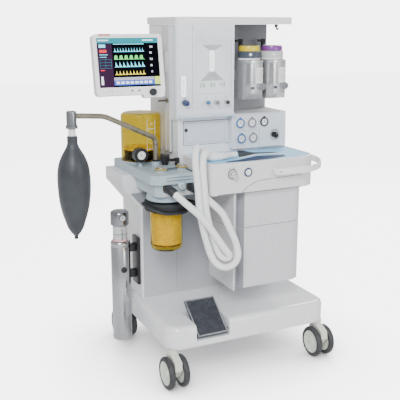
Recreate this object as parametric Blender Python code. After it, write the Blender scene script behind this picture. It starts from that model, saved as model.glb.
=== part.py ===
"""Anesthesia machine on a four-castor trolley.

Lengths are in metres. The trolley is drawn with X to the right, Y to the back and Z up; X = 0 is the
middle of the base, Y = 0 is its front and Z = 0 is the floor. At the end the whole machine is moved so
that the world origin is under the middle of its bounding box. Each moving piece has its origin, or the
empty that it hangs on, on its joint's axis.
"""

import bmesh
import bpy
from math import ceil, cos, pi, radians, sin
from mathutils import Matrix, Vector

# ---------------------------------------------------------------- driving dimensions
GAP = 0.0003                    # between two solids that touch
RUN = 0.0003                    # radial clearance of a pin or a stem in its hole

# trolley base and castors
BASE_WIDTH, BASE_DEPTH = 0.700, 0.630
BASE_BOTTOM, BASE_TOP = 0.150, 0.240
BASE_CORNER = 0.060
WHEEL_RADIUS, WHEEL_WIDTH = 0.0625, 0.025
WHEEL_PAIR = 0.058              # between the middles of the two wheels of one castor
CASTOR_TRAIL = 0.018
CASTOR_STEM = 0.008
FRONT_INSET, REAR_INSET = 0.025, 0.012          # from the base's sides to the castors' stems
FRONT_CASTOR = (BASE_WIDTH / 2 - FRONT_INSET, 0.036)        # half track, distance from the front
REAR_CASTOR = (BASE_WIDTH / 2 - REAR_INSET, BASE_DEPTH - 0.070)

# foot pedal of the brake
PEDAL_LEFT, PEDAL_RIGHT = -0.2325, -0.1075
PEDAL_FRONT, PEDAL_BACK = 0.001, 0.130
PEDAL_LOW, PEDAL_HIGH = 0.192, 0.290
PEDAL_THICK = 0.012
PEDAL_PIN = 0.004
NOTCH_MARGIN = 0.0075           # from the pedal to the side wall of its notch
NOTCH_FLOOR = 0.176

# rear pedestal with its left shoulder
PEDESTAL_LEFT, PEDESTAL_RIGHT = -0.328, 0.300
PEDESTAL_FRONT, PEDESTAL_BACK = 0.336, 0.547
SHOULDER_LEFT = -0.400
SHOULDER_LOW, SHOULDER_HIGH = 0.625, 0.715
COVER_THICK = 0.004
COVER_SEAM = -0.176

# column, shelf and panels
COLUMN_LEFT, COLUMN_MIDDLE, COLUMN_RIGHT = -0.195, 0.040, 0.302
COLUMN_FRONT, COLUMN_BACK = 0.280, 0.550
COLUMN_BOTTOM = 0.800
BAY_FLOOR = 0.985               # floor of the vaporizer bay
BAY_BACK = 0.450
SHELF_BOTTOM, SHELF_TOP = 1.335, 1.363
RAIL_THICK = 0.009
WALL = 0.012
PANEL_FRONT = 0.250             # front of the flowmeter panel
PANEL_LEFT, PANEL_SPLIT = -0.206, -0.139
GAUGE_FRONT = 0.256
GAUGE_RADIUS = 0.0175

# worktop
WORKTOP_LEFT, WORKTOP_RIGHT = -0.169, 0.304
WORKTOP_FRONT, WORKTOP_TOP, WORKTOP_BOTTOM = 0.030, 0.840, 0.722
RIM = 0.012
MAT_POCKET, MAT_THICK = 0.006, 0.004
BUTTON_RADIUS, BUTTON_DEPTH, BUTTON_TRAVEL = 0.0110, 0.015, 0.005

# drawers
DRAWER_FRONT = 0.050
DRAWER_BOTTOM, DRAWER_SEAM, DRAWER_TOP = 0.336, 0.580, 0.7205
WING_LEFT, WING_FRONT, WING_BACK = -0.067, 0.040, 0.250
SKIN = 0.008                    # thickness of the drawers' outer skin
CARCASS_FRONT, CARCASS_BACK = 0.100, 0.244
CARCASS_LEFT, CARCASS_RIGHT = -0.056, 0.236

# handle rail
HANDLE_Z, HANDLE_HEIGHT, HANDLE_THICK = 0.797, 0.026, 0.009

# breathing system
TRAY_LEFT, TRAY_RIGHT = -0.366, -0.180
TRAY_FRONT, TRAY_BACK = 0.102, 0.535
TRAY_TOP, TRAY_BOTTOM = 0.800, 0.765
ABSORBER_BOTTOM = 0.690
CANISTER = (-0.275, 0.200)
CANISTER_RADIUS, CANISTER_WALL = 0.0625, 0.003
CANISTER_LOW, CANISTER_HIGH = 0.491, 0.682
DOME = (-0.283, 0.436)
DOME_RADIUS, DOME_WALL, DOME_TOP = 0.080, 0.003, 0.995
BELLOWS_TOP = 0.846
BELLOWS_RADIUS = DOME_RADIUS - 0.010
ARM_POST = (-0.268, 0.317)
ARM_RADIUS, ARM_BEND = 0.010, 0.020
ARM_RISE, ARM_HIGH = 0.905, 1.006
BAG = (-0.617, 0.250)
BAG_TOP, BAG_BOTTOM, BAG_RADIUS = 0.945, 0.560, 0.0625
ELBOWS = ((-0.305, 0.7475), (-0.210, 0.7475))   # x and z of the two breathing ports
ELBOW_RADIUS, ELBOW_LENGTH = 0.0170, 0.021
HOSE_RADIUS = 0.013
Y_PIECE = (-0.060, 0.118, 0.853)
Y_LIMBS = ((-0.078, 0.100), (-0.078, 0.136))    # where the exhale and the inhale limb begin, x and y
LIMITING_VALVE = (-0.236, 0.300)
CHANGEOVER_LEVER = (-0.200, 0.262)
CHECK_VALVES = ((-0.300, 0.186), (-0.206, 0.206))

# waste-gas receiver on the left
RECEIVER_RADIUS, RECEIVER_BOTTOM, RECEIVER_TOP = 0.039, 0.070, 0.614
RECEIVER_CLEAR = 0.013          # from the base's side
RECEIVER = (-BASE_WIDTH / 2 - RECEIVER_CLEAR - RECEIVER_RADIUS, REAR_CASTOR[1] - 0.180)    # ahead of the castor

# monitor on its arm
MONITOR_PIVOT = (-0.377, 0.345, 1.181)
MONITOR_WIDTH, MONITOR_HEIGHT = 0.271, 0.224
MONITOR_FRONT, MONITOR_REAR = 0.055, 0.017    # ahead of the tilt axis
MONITOR_LEAN = radians(10)
ARM_PIVOT = (-0.241, 0.362)
BRACKET_LOW, BRACKET_HIGH = 1.155, 1.231

# vaporizers
VAPORIZER_X = (0.151, 0.258)
VAPORIZER_Y = 0.330
VAPORIZER_WIDTH, VAPORIZER_DEPTH = 0.094, 0.112
VAPORIZER_LOW, VAPORIZER_HIGH = 1.040, 1.195
DIAL_RADIUS, DIAL_HEIGHT = 0.046, 0.057

root = None
origins = {}


# ---------------------------------------------------------------- shaping tools
def bevel(bm, edges, radius, segments=3):
    bmesh.ops.bevel(bm, geom=edges, offset=radius, offset_type="OFFSET", segments=segments,
                    profile=0.5, affect="EDGES", clamp_overlap=True)


def edges_along(bm, axis):
    """Straight edges parallel to the axis 'X', 'Y' or 'Z'."""
    index = "XYZ".index(axis)
    chosen = []
    for edge in bm.edges:
        run = edge.verts[1].co - edge.verts[0].co
        if abs(run[index]) > 0.999 * run.length:
            chosen.append(edge)
    return chosen


def edges_at(bm, axis, value):
    """Edges that lie in the plane where the coordinate on this axis has this value."""
    index = "XYZ".index(axis)
    return [e for e in bm.edges if all(abs(v.co[index] - value) < 1e-6 for v in e.verts)]


def block(low, high, radius=0.0, along="Z", segments=3, rim=0.0):
    """A box between two corners. radius rounds its edges along one axis, rim the edges of its top."""
    bm = bmesh.new()
    low, high = Vector(low), Vector(high)
    bmesh.ops.create_cube(bm, size=1.0)
    size = high - low
    bmesh.ops.transform(bm, matrix=Matrix.Translation((low + high) / 2) @ Matrix.Diagonal((*size, 1)),
                        verts=bm.verts)
    if radius:
        bevel(bm, edges_along(bm, along), radius, segments)
    if rim:
        bevel(bm, edges_at(bm, "Z", high.z), rim, 2)
    return bm


def prism(outline, axis, start, end):
    """An outline extruded along an axis. The outline is (y, z), (x, z) or (x, y) for X, Y or Z."""
    def point(pair, along):
        a, b = pair
        return {"X": (along, a, b), "Y": (a, along, b), "Z": (a, b, along)}[axis]

    bm = bmesh.new()
    face = bm.faces.new([bm.verts.new(point(pair, start)) for pair in outline])
    grown = bmesh.ops.extrude_face_region(bm, geom=[face])
    move = Vector(point((0, 0), end - start))
    bmesh.ops.translate(bm, vec=move, verts=[g for g in grown["geom"] if isinstance(g, bmesh.types.BMVert)])
    bmesh.ops.recalc_face_normals(bm, faces=bm.faces)
    return bm


def lathe(profile, centre=(0, 0, 0), axis="Z", segments=24):
    """A profile of (radius, height) pairs turned round an axis; one that misses the axis makes a ring."""
    bm = bmesh.new()
    rings = []
    for radius, height in profile:
        if radius < 1e-9:
            rings.append([bm.verts.new((0, 0, height))])
            continue
        turn = 2 * pi / segments
        rings.append([bm.verts.new((radius * cos(k * turn), radius * sin(k * turn), height))
                      for k in range(segments)])
    closed = all(len(ring) > 1 for ring in rings)
    pairs = list(zip(rings, rings[1:] + rings[:1])) if closed else list(zip(rings, rings[1:]))
    for lower, upper in pairs:
        for k in range(segments):
            n = (k + 1) % segments
            if len(lower) == 1:
                bm.faces.new((lower[0], upper[n], upper[k]))
            elif len(upper) == 1:
                bm.faces.new((lower[k], lower[n], upper[0]))
            else:
                bm.faces.new((lower[k], lower[n], upper[n], upper[k]))
    tip = {"Z": Matrix.Identity(4), "X": Matrix.Rotation(pi / 2, 4, "Y"), "Y": Matrix.Rotation(-pi / 2, 4, "X")}
    bmesh.ops.transform(bm, matrix=Matrix.Translation(centre) @ tip[axis], verts=bm.verts)
    bmesh.ops.recalc_face_normals(bm, faces=bm.faces)
    return bm


def rod(radius, start, end, centre, axis="Z", segments=16, chamfer=0.0):
    """A round bar from start to end along an axis through centre; centre's value on the axis is unused."""
    middle = list(centre)
    middle["XYZ".index(axis)] = 0
    c = chamfer
    profile = [(0, start), (radius - c, start), (radius, start + c), (radius, end - c), (radius - c, end), (0, end)]
    if not c:
        profile = [(0, start), (radius, start), (radius, end), (0, end)]
    return lathe(profile, middle, axis, segments)


def rounded_path(points, radius, steps=5):
    """The points with each inner corner replaced by a short curve."""
    points = [Vector(p) for p in points]
    path = [points[0]]
    for before, corner, after in zip(points, points[1:], points[2:]):
        reach = min(radius, 0.45 * (corner - before).length, 0.45 * (after - corner).length)
        start = corner + (before - corner).normalized() * reach
        end = corner + (after - corner).normalized() * reach
        for k in range(steps + 1):
            t = k / steps
            path.append((1 - t) ** 2 * start + 2 * t * (1 - t) * corner + t * t * end)
    return path + [points[-1]]


def sweep(path, section, up=(0, 0, 1)):
    """A closed section of (side, up) offsets carried along a path."""
    bm = bmesh.new()
    rings = []
    for index, here in enumerate(path):
        before, after = path[max(index - 1, 0)], path[min(index + 1, len(path) - 1)]
        along = (after - before).normalized()
        side = along.cross(Vector(up)).normalized()
        over = side.cross(along)
        rings.append([bm.verts.new(here + side * a + over * b) for a, b in section])
    count = len(section)
    for lower, upper in zip(rings, rings[1:]):
        for k in range(count):
            n = (k + 1) % count
            bm.faces.new((lower[k], lower[n], upper[n], upper[k]))
    bm.faces.new(rings[0])
    bm.faces.new(rings[-1])
    bmesh.ops.recalc_face_normals(bm, faces=bm.faces)
    return bm


def circle(radius, sides):
    return [(radius * cos(2 * pi * k / sides), radius * sin(2 * pi * k / sides)) for k in range(sides)]


def arc(centre, radius, start, end, steps):
    """Points on a circle from one angle to another, in degrees."""
    turns = [radians(start + (end - start) * k / steps) for k in range(steps + 1)]
    return [(centre[0] + radius * cos(t), centre[1] + radius * sin(t)) for t in turns]


def combine(base, tools, operation):
    """The base joined with or cut by the tools, through Blender's exact Boolean."""
    holders = []
    for bm in [base, *tools]:
        mesh = bpy.data.meshes.new("shaping")
        bm.to_mesh(mesh)
        bm.free()
        holder = bpy.data.objects.new("shaping", mesh)
        bpy.context.collection.objects.link(holder)
        holders.append(holder)
    for holder in holders[1:]:
        modifier = holders[0].modifiers.new("shaping", "BOOLEAN")
        modifier.operation = operation
        modifier.solver = "EXACT"
        modifier.object = holder
    bpy.context.view_layer.update()
    graph = bpy.context.evaluated_depsgraph_get()
    result = bmesh.new()
    result.from_mesh(holders[0].evaluated_get(graph).to_mesh())
    for holder in holders:
        mesh = holder.data
        bpy.data.objects.remove(holder)
        bpy.data.meshes.remove(mesh)
    bmesh.ops.remove_doubles(result, verts=result.verts, dist=1e-6)
    return result


def join(base, *tools):
    return combine(base, tools, "UNION")


def cut(base, *tools):
    return combine(base, tools, "DIFFERENCE")


# ---------------------------------------------------------------- objects
def material(name, color, roughness=0.5, metallic=0.0, alpha=1.0):
    made = bpy.data.materials.get(name)
    if made:
        return made
    made = bpy.data.materials.new(name)
    made.use_nodes = True
    shader = made.node_tree.nodes["Principled BSDF"]
    shader.inputs["Base Color"].default_value = (*color, 1)
    shader.inputs["Roughness"].default_value = roughness
    shader.inputs["Metallic"].default_value = metallic
    shader.inputs["Alpha"].default_value = alpha
    made.diffuse_color = (*color, alpha)
    return made


def joint(name, at, parent=None):
    """An empty on a joint's axis."""
    empty = bpy.data.objects.new(name, None)
    empty.empty_display_size = 0.03
    bpy.context.collection.objects.link(empty)
    parent = parent or root
    if parent:
        empty.parent = parent
        empty.location = Vector(at) - origins[parent.name]
    origins[name] = Vector(at)
    return empty


def place(name, bm, look, parent=None):
    """Makes a node from a mesh drawn in trolley coordinates, with its origin on its parent's axis."""
    parent = parent or root
    mesh = bpy.data.meshes.new(name)
    bmesh.ops.translate(bm, vec=-origins[parent.name], verts=bm.verts)
    bm.to_mesh(mesh)
    bm.free()
    mesh.materials.append(look)
    made = bpy.data.objects.new(name, mesh)
    bpy.context.collection.objects.link(made)
    made.parent = parent
    return made


def looks():
    return {
        "casing": material("white_casing", (0.86, 0.87, 0.88), 0.38),
        "drawer": material("drawer_casing", (0.74, 0.75, 0.78), 0.40),
        "cover": material("grey_cover", (0.47, 0.49, 0.53), 0.45),
        "steel": material("brushed_metal", (0.72, 0.72, 0.72), 0.30, 1.0),
        "nickel": material("nickel_tube", (0.55, 0.50, 0.43), 0.32, 1.0),
        "black": material("black_plastic", (0.03, 0.03, 0.035), 0.40),
        "dark": material("dark_rubber", (0.10, 0.11, 0.13), 0.75),
        "absorber": material("absorber_grey", (0.62, 0.68, 0.71), 0.42),
        "amber": material("amber_plastic", (0.72, 0.48, 0.06), 0.12, 0.0, 0.6),
        "clear": material("clear_plastic", (0.92, 0.95, 0.96), 0.08, 0.0, 0.5),
        "mat": material("worktop_mat", (0.45, 0.74, 0.92), 0.60),
        "castor": material("castor_cream", (0.80, 0.80, 0.74), 0.45),
        "tyre": material("castor_tyre", (0.08, 0.08, 0.09), 0.60),
        "bag": material("bag_rubber", (0.10, 0.11, 0.13), 0.60),
        "hose": material("hose_white", (0.88, 0.89, 0.90), 0.40),
        "blue": material("blue_plastic", (0.07, 0.16, 0.36), 0.35),
        "grey": material("grey_plastic", (0.45, 0.46, 0.48), 0.40),
        "yellow": material("yellow_plastic", (0.85, 0.68, 0.05), 0.40),
    }


# ---------------------------------------------------------------- trolley
def castor_spots():
    """(name, x, y) of the four castors' stems."""
    spots = []
    for row, (half_track, depth) in (("front", FRONT_CASTOR), ("rear", REAR_CASTOR)):
        spots += [(row + "_left", -half_track, depth), (row + "_right", half_track, depth)]
    return spots


def trolley_base(look):
    half = BASE_WIDTH / 2
    body = block((-half, 0, BASE_BOTTOM), (half, BASE_DEPTH, BASE_TOP), BASE_CORNER, "Z", 6)
    bevel(body, edges_at(body, "Z", BASE_TOP), 0.020, 4)
    bevel(body, edges_at(body, "Z", BASE_BOTTOM), 0.008, 2)
    deck, side = 0.012, 0.065
    notch_back = PEDAL_BACK + 0.016
    beside_pedal = PEDAL_RIGHT + 0.022
    underside = prism(
        [(-half + side, notch_back + deck), (beside_pedal, notch_back + deck), (beside_pedal, 0.030),
         (half - side, 0.030), (half - side, BASE_DEPTH - 0.030), (-half + side, BASE_DEPTH - 0.030)],
        "Z", BASE_BOTTOM - 0.01, BASE_TOP - deck)
    notch = block((PEDAL_LEFT - NOTCH_MARGIN, -0.02, NOTCH_FLOOR),
                  (PEDAL_RIGHT + NOTCH_MARGIN, notch_back, BASE_TOP + 0.05))
    pin_y, pin_z = pedal_pin()
    pin_hole = rod(PEDAL_PIN + RUN, PEDAL_LEFT - 0.016, PEDAL_RIGHT + 0.016, (0, pin_y, pin_z), "X", 16)
    stems = [rod(CASTOR_STEM + RUN, BASE_BOTTOM - 0.01, BASE_BOTTOM + 0.0585, (x, y, 0), "Z", 16)
             for _, x, y in castor_spots()]
    place("trolley_base", cut(body, underside, notch, pin_hole, *stems), look)


def castor(name, x, y, fork_look, wheel_look):
    swivel = joint("swivel_axis_" + name, (x, y, BASE_BOTTOM))
    axle = joint("axle_" + name, (x, y - CASTOR_TRAIL, WHEEL_RADIUS), swivel)
    spot = Vector((x, y, 0))
    x, y, axle_y = 0, 0, -CASTOR_TRAIL      # modelled round its own stem, then moved to its spot
    half_gap = (WHEEL_PAIR - WHEEL_WIDTH) / 2
    fork_half = half_gap - 0.002
    hood = [(axle_y - 0.016, WHEEL_RADIUS - 0.016), (axle_y + 0.016, WHEEL_RADIUS - 0.016),
            (axle_y + 0.052, WHEEL_RADIUS + 0.020), (axle_y + 0.046, WHEEL_RADIUS + 0.052),
            (y + 0.020, BASE_BOTTOM - 0.018), (y - 0.020, BASE_BOTTOM - 0.018),
            (axle_y - 0.040, WHEEL_RADIUS + 0.052), (axle_y - 0.045, WHEEL_RADIUS + 0.020)]
    body = join(prism(hood, "X", x - fork_half, x + fork_half),
                rod(0.020, BASE_BOTTOM - 0.022, BASE_BOTTOM - 0.0008, (x, y, 0)),
                rod(CASTOR_STEM, BASE_BOTTOM - 0.010, BASE_BOTTOM + 0.058, (x, y, 0)))
    bore = rod(0.006 + RUN, x - 0.03, x + 0.03, (0, axle_y, WHEEL_RADIUS), "X", 16)
    fork = cut(body, bore)
    bmesh.ops.translate(fork, vec=spot, verts=fork.verts)
    place("castor_fork_" + name, fork, fork_look, swivel)
    wheel = []
    for side in (-1, 1):
        inner, outer = side * half_gap, side * (half_gap + WHEEL_WIDTH)
        wheel += [(0.030, inner), (WHEEL_RADIUS - 0.006, inner), (WHEEL_RADIUS, inner + side * 0.006),
                  (WHEEL_RADIUS, outer - side * 0.007), (WHEEL_RADIUS - 0.007, outer),
                  (WHEEL_RADIUS - 0.012, outer - side * 0.002), (0, outer)]
    left = [(0.006, wheel[0][1])] + wheel[:7]
    right = [(0.006, wheel[7][1])] + wheel[7:]
    profile = left[::-1] + right
    wheels = lathe(profile, spot + Vector((0, axle_y, WHEEL_RADIUS)), "X", 24)
    place("castor_wheels_" + name, wheels, wheel_look, axle)


def pedal_pin():
    """(y, z) of the pedal's hinge pin, near its front edge and inside its plate."""
    along = Vector((PEDAL_BACK - PEDAL_FRONT, PEDAL_HIGH - PEDAL_LOW)).normalized()
    down = Vector((along.y, -along.x))
    spot = Vector((PEDAL_FRONT, PEDAL_LOW)) + along * 0.018 + down * (PEDAL_THICK / 2)
    return spot.x, spot.y


def brake_pedal(look):
    pin_y, pin_z = pedal_pin()
    axis = joint("pedal_axis", ((PEDAL_LEFT + PEDAL_RIGHT) / 2, pin_y, pin_z))
    along = Vector((PEDAL_BACK - PEDAL_FRONT, PEDAL_HIGH - PEDAL_LOW)).normalized()
    down = Vector((along.y, -along.x)) * PEDAL_THICK
    front, back = Vector((PEDAL_FRONT, PEDAL_LOW)), Vector((PEDAL_BACK, PEDAL_HIGH))
    plate = prism([front[:], back[:], (back + down)[:], (front + down)[:]], "X", PEDAL_LEFT, PEDAL_RIGHT)
    pin = rod(PEDAL_PIN, PEDAL_LEFT - 0.0155, PEDAL_RIGHT + 0.0155, (0, pin_y, pin_z), "X", 16)
    place("brake_pedal", join(plate, pin), look, axis)


def pedestal_outline():
    """(x, z) round the pedestal with its left shoulder, seen from the front."""
    column, tray = COLUMN_BOTTOM - GAP, TRAY_BOTTOM - GAP
    return [(PEDESTAL_LEFT, BASE_TOP + GAP), (PEDESTAL_RIGHT, BASE_TOP + GAP), (PEDESTAL_RIGHT, column),
            (COLUMN_LEFT + GAP, column), (COLUMN_LEFT + GAP, tray), (SHOULDER_LEFT, tray),
            (SHOULDER_LEFT, SHOULDER_HIGH), (PEDESTAL_LEFT, SHOULDER_LOW)]


def cover_outline():
    """(x, z) round the cover, a little inside the pedestal and clear of the absorber and the drawers."""
    inset, below_absorber = 0.008, ABSORBER_BOTTOM - 0.001
    beside_drawers = CARCASS_LEFT - 0.010
    return [(PEDESTAL_LEFT + inset, BASE_TOP + inset), (PEDESTAL_RIGHT - inset, BASE_TOP + inset),
            (PEDESTAL_RIGHT - inset, WORKTOP_BOTTOM - 0.010), (beside_drawers, WORKTOP_BOTTOM - 0.010),
            (beside_drawers, below_absorber), (SHOULDER_LEFT + 0.030, below_absorber),
            (PEDESTAL_LEFT + inset, SHOULDER_LOW + inset / 2)]


def pedestal(look, cover_look):
    body = prism(pedestal_outline(), "Y", PEDESTAL_FRONT, PEDESTAL_BACK)
    hollow = block((PEDESTAL_LEFT + WALL, PEDESTAL_FRONT + WALL, BASE_TOP - 0.02),
                   (PEDESTAL_RIGHT - WALL, PEDESTAL_BACK - WALL, TRAY_BOTTOM - 2 * WALL))
    place("pedestal_cabinet", cut(body, hollow), look)
    front = PEDESTAL_FRONT - GAP
    plate = prism(cover_outline(), "Y", front - COVER_THICK, front)
    seam = block((COVER_SEAM - 0.001, front - COVER_THICK - 0.001, 0), (COVER_SEAM + 0.001, front - 0.002, 1))
    place("pedestal_cover", cut(plate, seam), cover_look)


# ---------------------------------------------------------------- drawers
def drawer_skin_outline():
    """(x, y) of the drawers' outer skin: left wing, finger recess, front and round right corner."""
    corner = (0.195, DRAWER_FRONT + 0.062)
    outside = [(WING_LEFT, WING_BACK), (WING_LEFT, WING_FRONT), (WING_LEFT + SKIN, WING_FRONT),
               (-0.046, 0.076), (-0.033, 0.076), (-0.016, DRAWER_FRONT)]
    outside += arc(corner, 0.062, -90, 0, 8) + [(corner[0] + 0.062, corner[1] + 0.020)]
    inner = 0.062 - SKIN
    inside = [(corner[0] + inner, corner[1] + 0.020)] + arc(corner, inner, 0, -90, 8)
    inside += [(-0.011, DRAWER_FRONT + SKIN), (-0.028, 0.076 + SKIN), (-0.050, 0.076 + SKIN),
               (WING_LEFT + SKIN, 0.062), (WING_LEFT + SKIN, WING_BACK)]
    return outside + inside


def drawer(name, low, high, look):
    axis = joint(name + "_slide", (0.09, DRAWER_FRONT, (low + high) / 2))
    skin = prism(drawer_skin_outline(), "Z", low, high)
    tray_low, tray_high = low + 0.014, high - 0.030
    left, right = CARCASS_LEFT + SKIN + 0.003, CARCASS_RIGHT - SKIN - 0.003
    tray = block((left, 0.0765 + SKIN / 2, tray_low), (right, CARCASS_BACK - SKIN - 0.002, tray_high))
    web = block((0.010, DRAWER_FRONT + SKIN / 2, tray_low), (0.180, 0.090, tray_high))
    room = block((left + 0.004, 0.0765 + SKIN / 2 + 0.006, tray_low + 0.004),
                 (right - 0.004, CARCASS_BACK - SKIN - 0.006, high + 0.05))
    place(name, cut(join(skin, tray, web), room), look, axis)


def drawer_cabinet(look):
    low, high = DRAWER_BOTTOM + 0.004, WORKTOP_BOTTOM - GAP
    body = block((CARCASS_LEFT, CARCASS_FRONT, low), (CARCASS_RIGHT, CARCASS_BACK, high))
    rear = block((-0.020, CARCASS_BACK - 0.005, low + 0.03),
                 (0.210, PEDESTAL_FRONT - COVER_THICK - 2 * GAP, high - 0.03))
    bays = [block((CARCASS_LEFT + SKIN, 0, bay_low), (CARCASS_RIGHT - SKIN, CARCASS_BACK - SKIN, bay_high))
            for bay_low, bay_high in ((low + SKIN, DRAWER_SEAM - SKIN / 2), (DRAWER_SEAM + SKIN / 2, high - SKIN))]
    place("drawer_cabinet", cut(join(body, rear), *bays), look)


# ---------------------------------------------------------------- worktop
def worktop_outline(inset=0.0, back=0.0):
    """(x, y) round the worktop, seen from above, counter-clockwise from its front left."""
    corner_radius = 0.080 - inset
    corner = (WORKTOP_RIGHT - 0.080, WORKTOP_FRONT + 0.080)
    left = WORKTOP_LEFT + inset
    small = 0.022
    points = arc((left + small, WORKTOP_FRONT + inset + small), small, 180, 270, 4)
    points += [(0.030, WORKTOP_FRONT + inset - 0.003)]
    points += arc(corner, corner_radius, -90, 0, 8)
    return points + [(WORKTOP_RIGHT - inset, back), (left, back)]


def apron_controls():
    """(x, z) of the common-gas-outlet switch and of the oxygen flush button."""
    return {"switch": (-0.082, 0.799), "flush": (-0.016, 0.801)}


def worktop(look, mat_look):
    slab = prism(worktop_outline(back=COLUMN_FRONT - GAP), "Z", WORKTOP_BOTTOM, WORKTOP_TOP)
    bevel(slab, edges_at(slab, "Z", WORKTOP_TOP), 0.004, 2)
    rear = block((WORKTOP_LEFT + 0.01, COLUMN_FRONT - 0.01, WORKTOP_BOTTOM),
                 (PEDESTAL_RIGHT, PEDESTAL_FRONT - GAP, COLUMN_BOTTOM - GAP))
    spots = apron_controls()
    face = WORKTOP_FRONT
    guard_x, guard_z = spots["flush"]
    guard = rod(0.0165, face - 0.006, face + 0.010, (guard_x, 0, guard_z), "Y", 20, 0.002)
    plate_x, plate_z = spots["switch"]
    plate = rod(0.0180, face - 0.004, face + 0.010, (plate_x, 0, plate_z), "Y", 20, 0.001)
    body = join(slab, rear, guard, plate)
    pocket = prism(worktop_outline(RIM, COLUMN_FRONT - 0.010), "Z", WORKTOP_TOP - MAT_POCKET, WORKTOP_TOP + 0.01)
    hollow = block((WORKTOP_LEFT + 0.020, 0.075, WORKTOP_BOTTOM - 0.01), (0.230, 0.300, 0.780))
    flush_hole = rod(BUTTON_RADIUS + RUN, face - 0.02, face + BUTTON_DEPTH + BUTTON_TRAVEL + 0.002,
                     (guard_x, 0, guard_z), "Y", 16)
    stem_hole = rod(0.004 + RUN, face - 0.02, face + 0.015, (plate_x, 0, plate_z), "Y", 16)
    place("worktop", cut(body, pocket, hollow, flush_hole, stem_hole), look)
    mat = prism(worktop_outline(RIM + 0.0008, COLUMN_FRONT - 0.0108), "Z",
                WORKTOP_TOP - MAT_POCKET + GAP, WORKTOP_TOP - MAT_POCKET + GAP + MAT_THICK)
    place("worktop_mat", mat, mat_look)


def apron_switches(look):
    spots = apron_controls()
    face = WORKTOP_FRONT
    x, z = spots["flush"]
    axis = joint("flush_axis", (x, face, z))
    button = rod(BUTTON_RADIUS, face - 0.009, face + BUTTON_DEPTH, (x, 0, z), "Y", 16, 0.001)
    place("oxygen_flush_button", button, look, axis)
    x, z = spots["switch"]
    axis = joint("outlet_switch_axis", (x, face, z))
    knob = join(rod(0.0125, face - 0.028, face - 0.0045, (x, 0, z), "Y", 16, 0.002),
                rod(0.004, face - 0.006, face + 0.0145, (x, 0, z), "Y", 16))
    place("gas_outlet_switch", knob, look, axis)


def handle_rail(look):
    face = WORKTOP_FRONT - 0.003
    z = HANDLE_Z
    path = rounded_path([(0.095, face - 2 * GAP, z), (0.095, -0.002, z), (0.235, -0.004, z), (0.315, 0.040, z),
                         (0.362, 0.110, z), (0.384, 0.175, z), (0.376, 0.238, z),
                         (WORKTOP_RIGHT + GAP, 0.238, z)], 0.030, 4)
    half_t, half_h, c = HANDLE_THICK / 2, HANDLE_HEIGHT / 2, 0.003
    section = [(-half_t, -half_h + c), (-half_t + c, -half_h), (half_t - c, -half_h), (half_t, -half_h + c),
               (half_t, half_h - c), (half_t - c, half_h), (-half_t + c, half_h), (-half_t, half_h - c)]
    place("handle_rail", sweep(path, section), look)


# ---------------------------------------------------------------- column and panels
def service_bay():
    """Corners of the compartment behind the service door."""
    return (-0.166, COLUMN_FRONT, 0.872), (0.024, COLUMN_FRONT + 0.110, 0.968)


def upper_cabinet(look):
    lower = block((COLUMN_LEFT + 0.006, COLUMN_FRONT, COLUMN_BOTTOM + GAP), (COLUMN_RIGHT, COLUMN_BACK, BAY_FLOOR))
    column = block((COLUMN_LEFT, COLUMN_FRONT, BAY_FLOOR - 0.012), (COLUMN_MIDDLE, COLUMN_BACK, SHELF_BOTTOM - GAP))
    wall = block((COLUMN_MIDDLE - 0.01, BAY_BACK, BAY_FLOOR - 0.01),
                 (COLUMN_RIGHT, COLUMN_BACK, SHELF_BOTTOM - GAP))
    bar = block((0.095, BAY_BACK - 0.030, 1.110), (0.296, BAY_BACK + 0.01, 1.150))
    body = join(lower, column, wall, bar)
    low, high = service_bay()
    bay = block((low[0], low[1] - 0.01, low[2]), high)
    hinge_room = rod(0.0052, low[2] - 0.004, high[2] + 0.004, (high[0] + 0.004, COLUMN_FRONT, 0), "Z", 16)
    hollow_low = block((COLUMN_LEFT + 0.018, high[1] + 0.010, COLUMN_BOTTOM - 0.01),
                       (COLUMN_RIGHT - WALL, COLUMN_BACK - WALL, BAY_FLOOR - WALL))
    hollow_high = block((COLUMN_LEFT + 0.018, high[1] + 0.010, BAY_FLOOR - 0.03),
                        (COLUMN_MIDDLE - WALL, COLUMN_BACK - WALL, SHELF_BOTTOM - WALL))
    gauge_room = block((0.052, COLUMN_FRONT + WALL, COLUMN_BOTTOM - 0.01),
                       (COLUMN_RIGHT - WALL, high[1] + 0.020, BAY_FLOOR - WALL))
    place("upper_cabinet", cut(body, bay, hinge_room, hollow_low, hollow_high, gauge_room), look)


def service_door(look):
    low, high = service_bay()
    pin_x = high[0] + 0.004
    axis = joint("door_axis", (pin_x, COLUMN_FRONT, (low[2] + high[2]) / 2))
    plate = block((low[0] + 0.002, COLUMN_FRONT - 0.003, low[2] + 0.002),
                  (high[0] - 0.002, COLUMN_FRONT + 0.003, high[2] - 0.002))
    strap = block((high[0] - 0.006, COLUMN_FRONT - 0.003, low[2] + 0.002),
                  (pin_x, COLUMN_FRONT + 0.001, high[2] - 0.002))
    barrel = rod(0.0040, low[2] + 0.002, high[2] - 0.002, (pin_x, COLUMN_FRONT, 0), "Z", 16)
    lock = rod(0.006, COLUMN_FRONT - 0.006, COLUMN_FRONT + 0.012, (low[0] + 0.010, 0, 0.934), "Y", 16)
    place("service_door", join(plate, strap, barrel, lock), look, axis)


def top_shelf(look):
    slab = block((COLUMN_LEFT - 0.006, COLUMN_FRONT - 0.022, SHELF_BOTTOM), (0.312, COLUMN_BACK + 0.020, SHELF_TOP),
                 0.018, "Z", 4, 0.004)
    place("top_shelf", slab, look)


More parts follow.
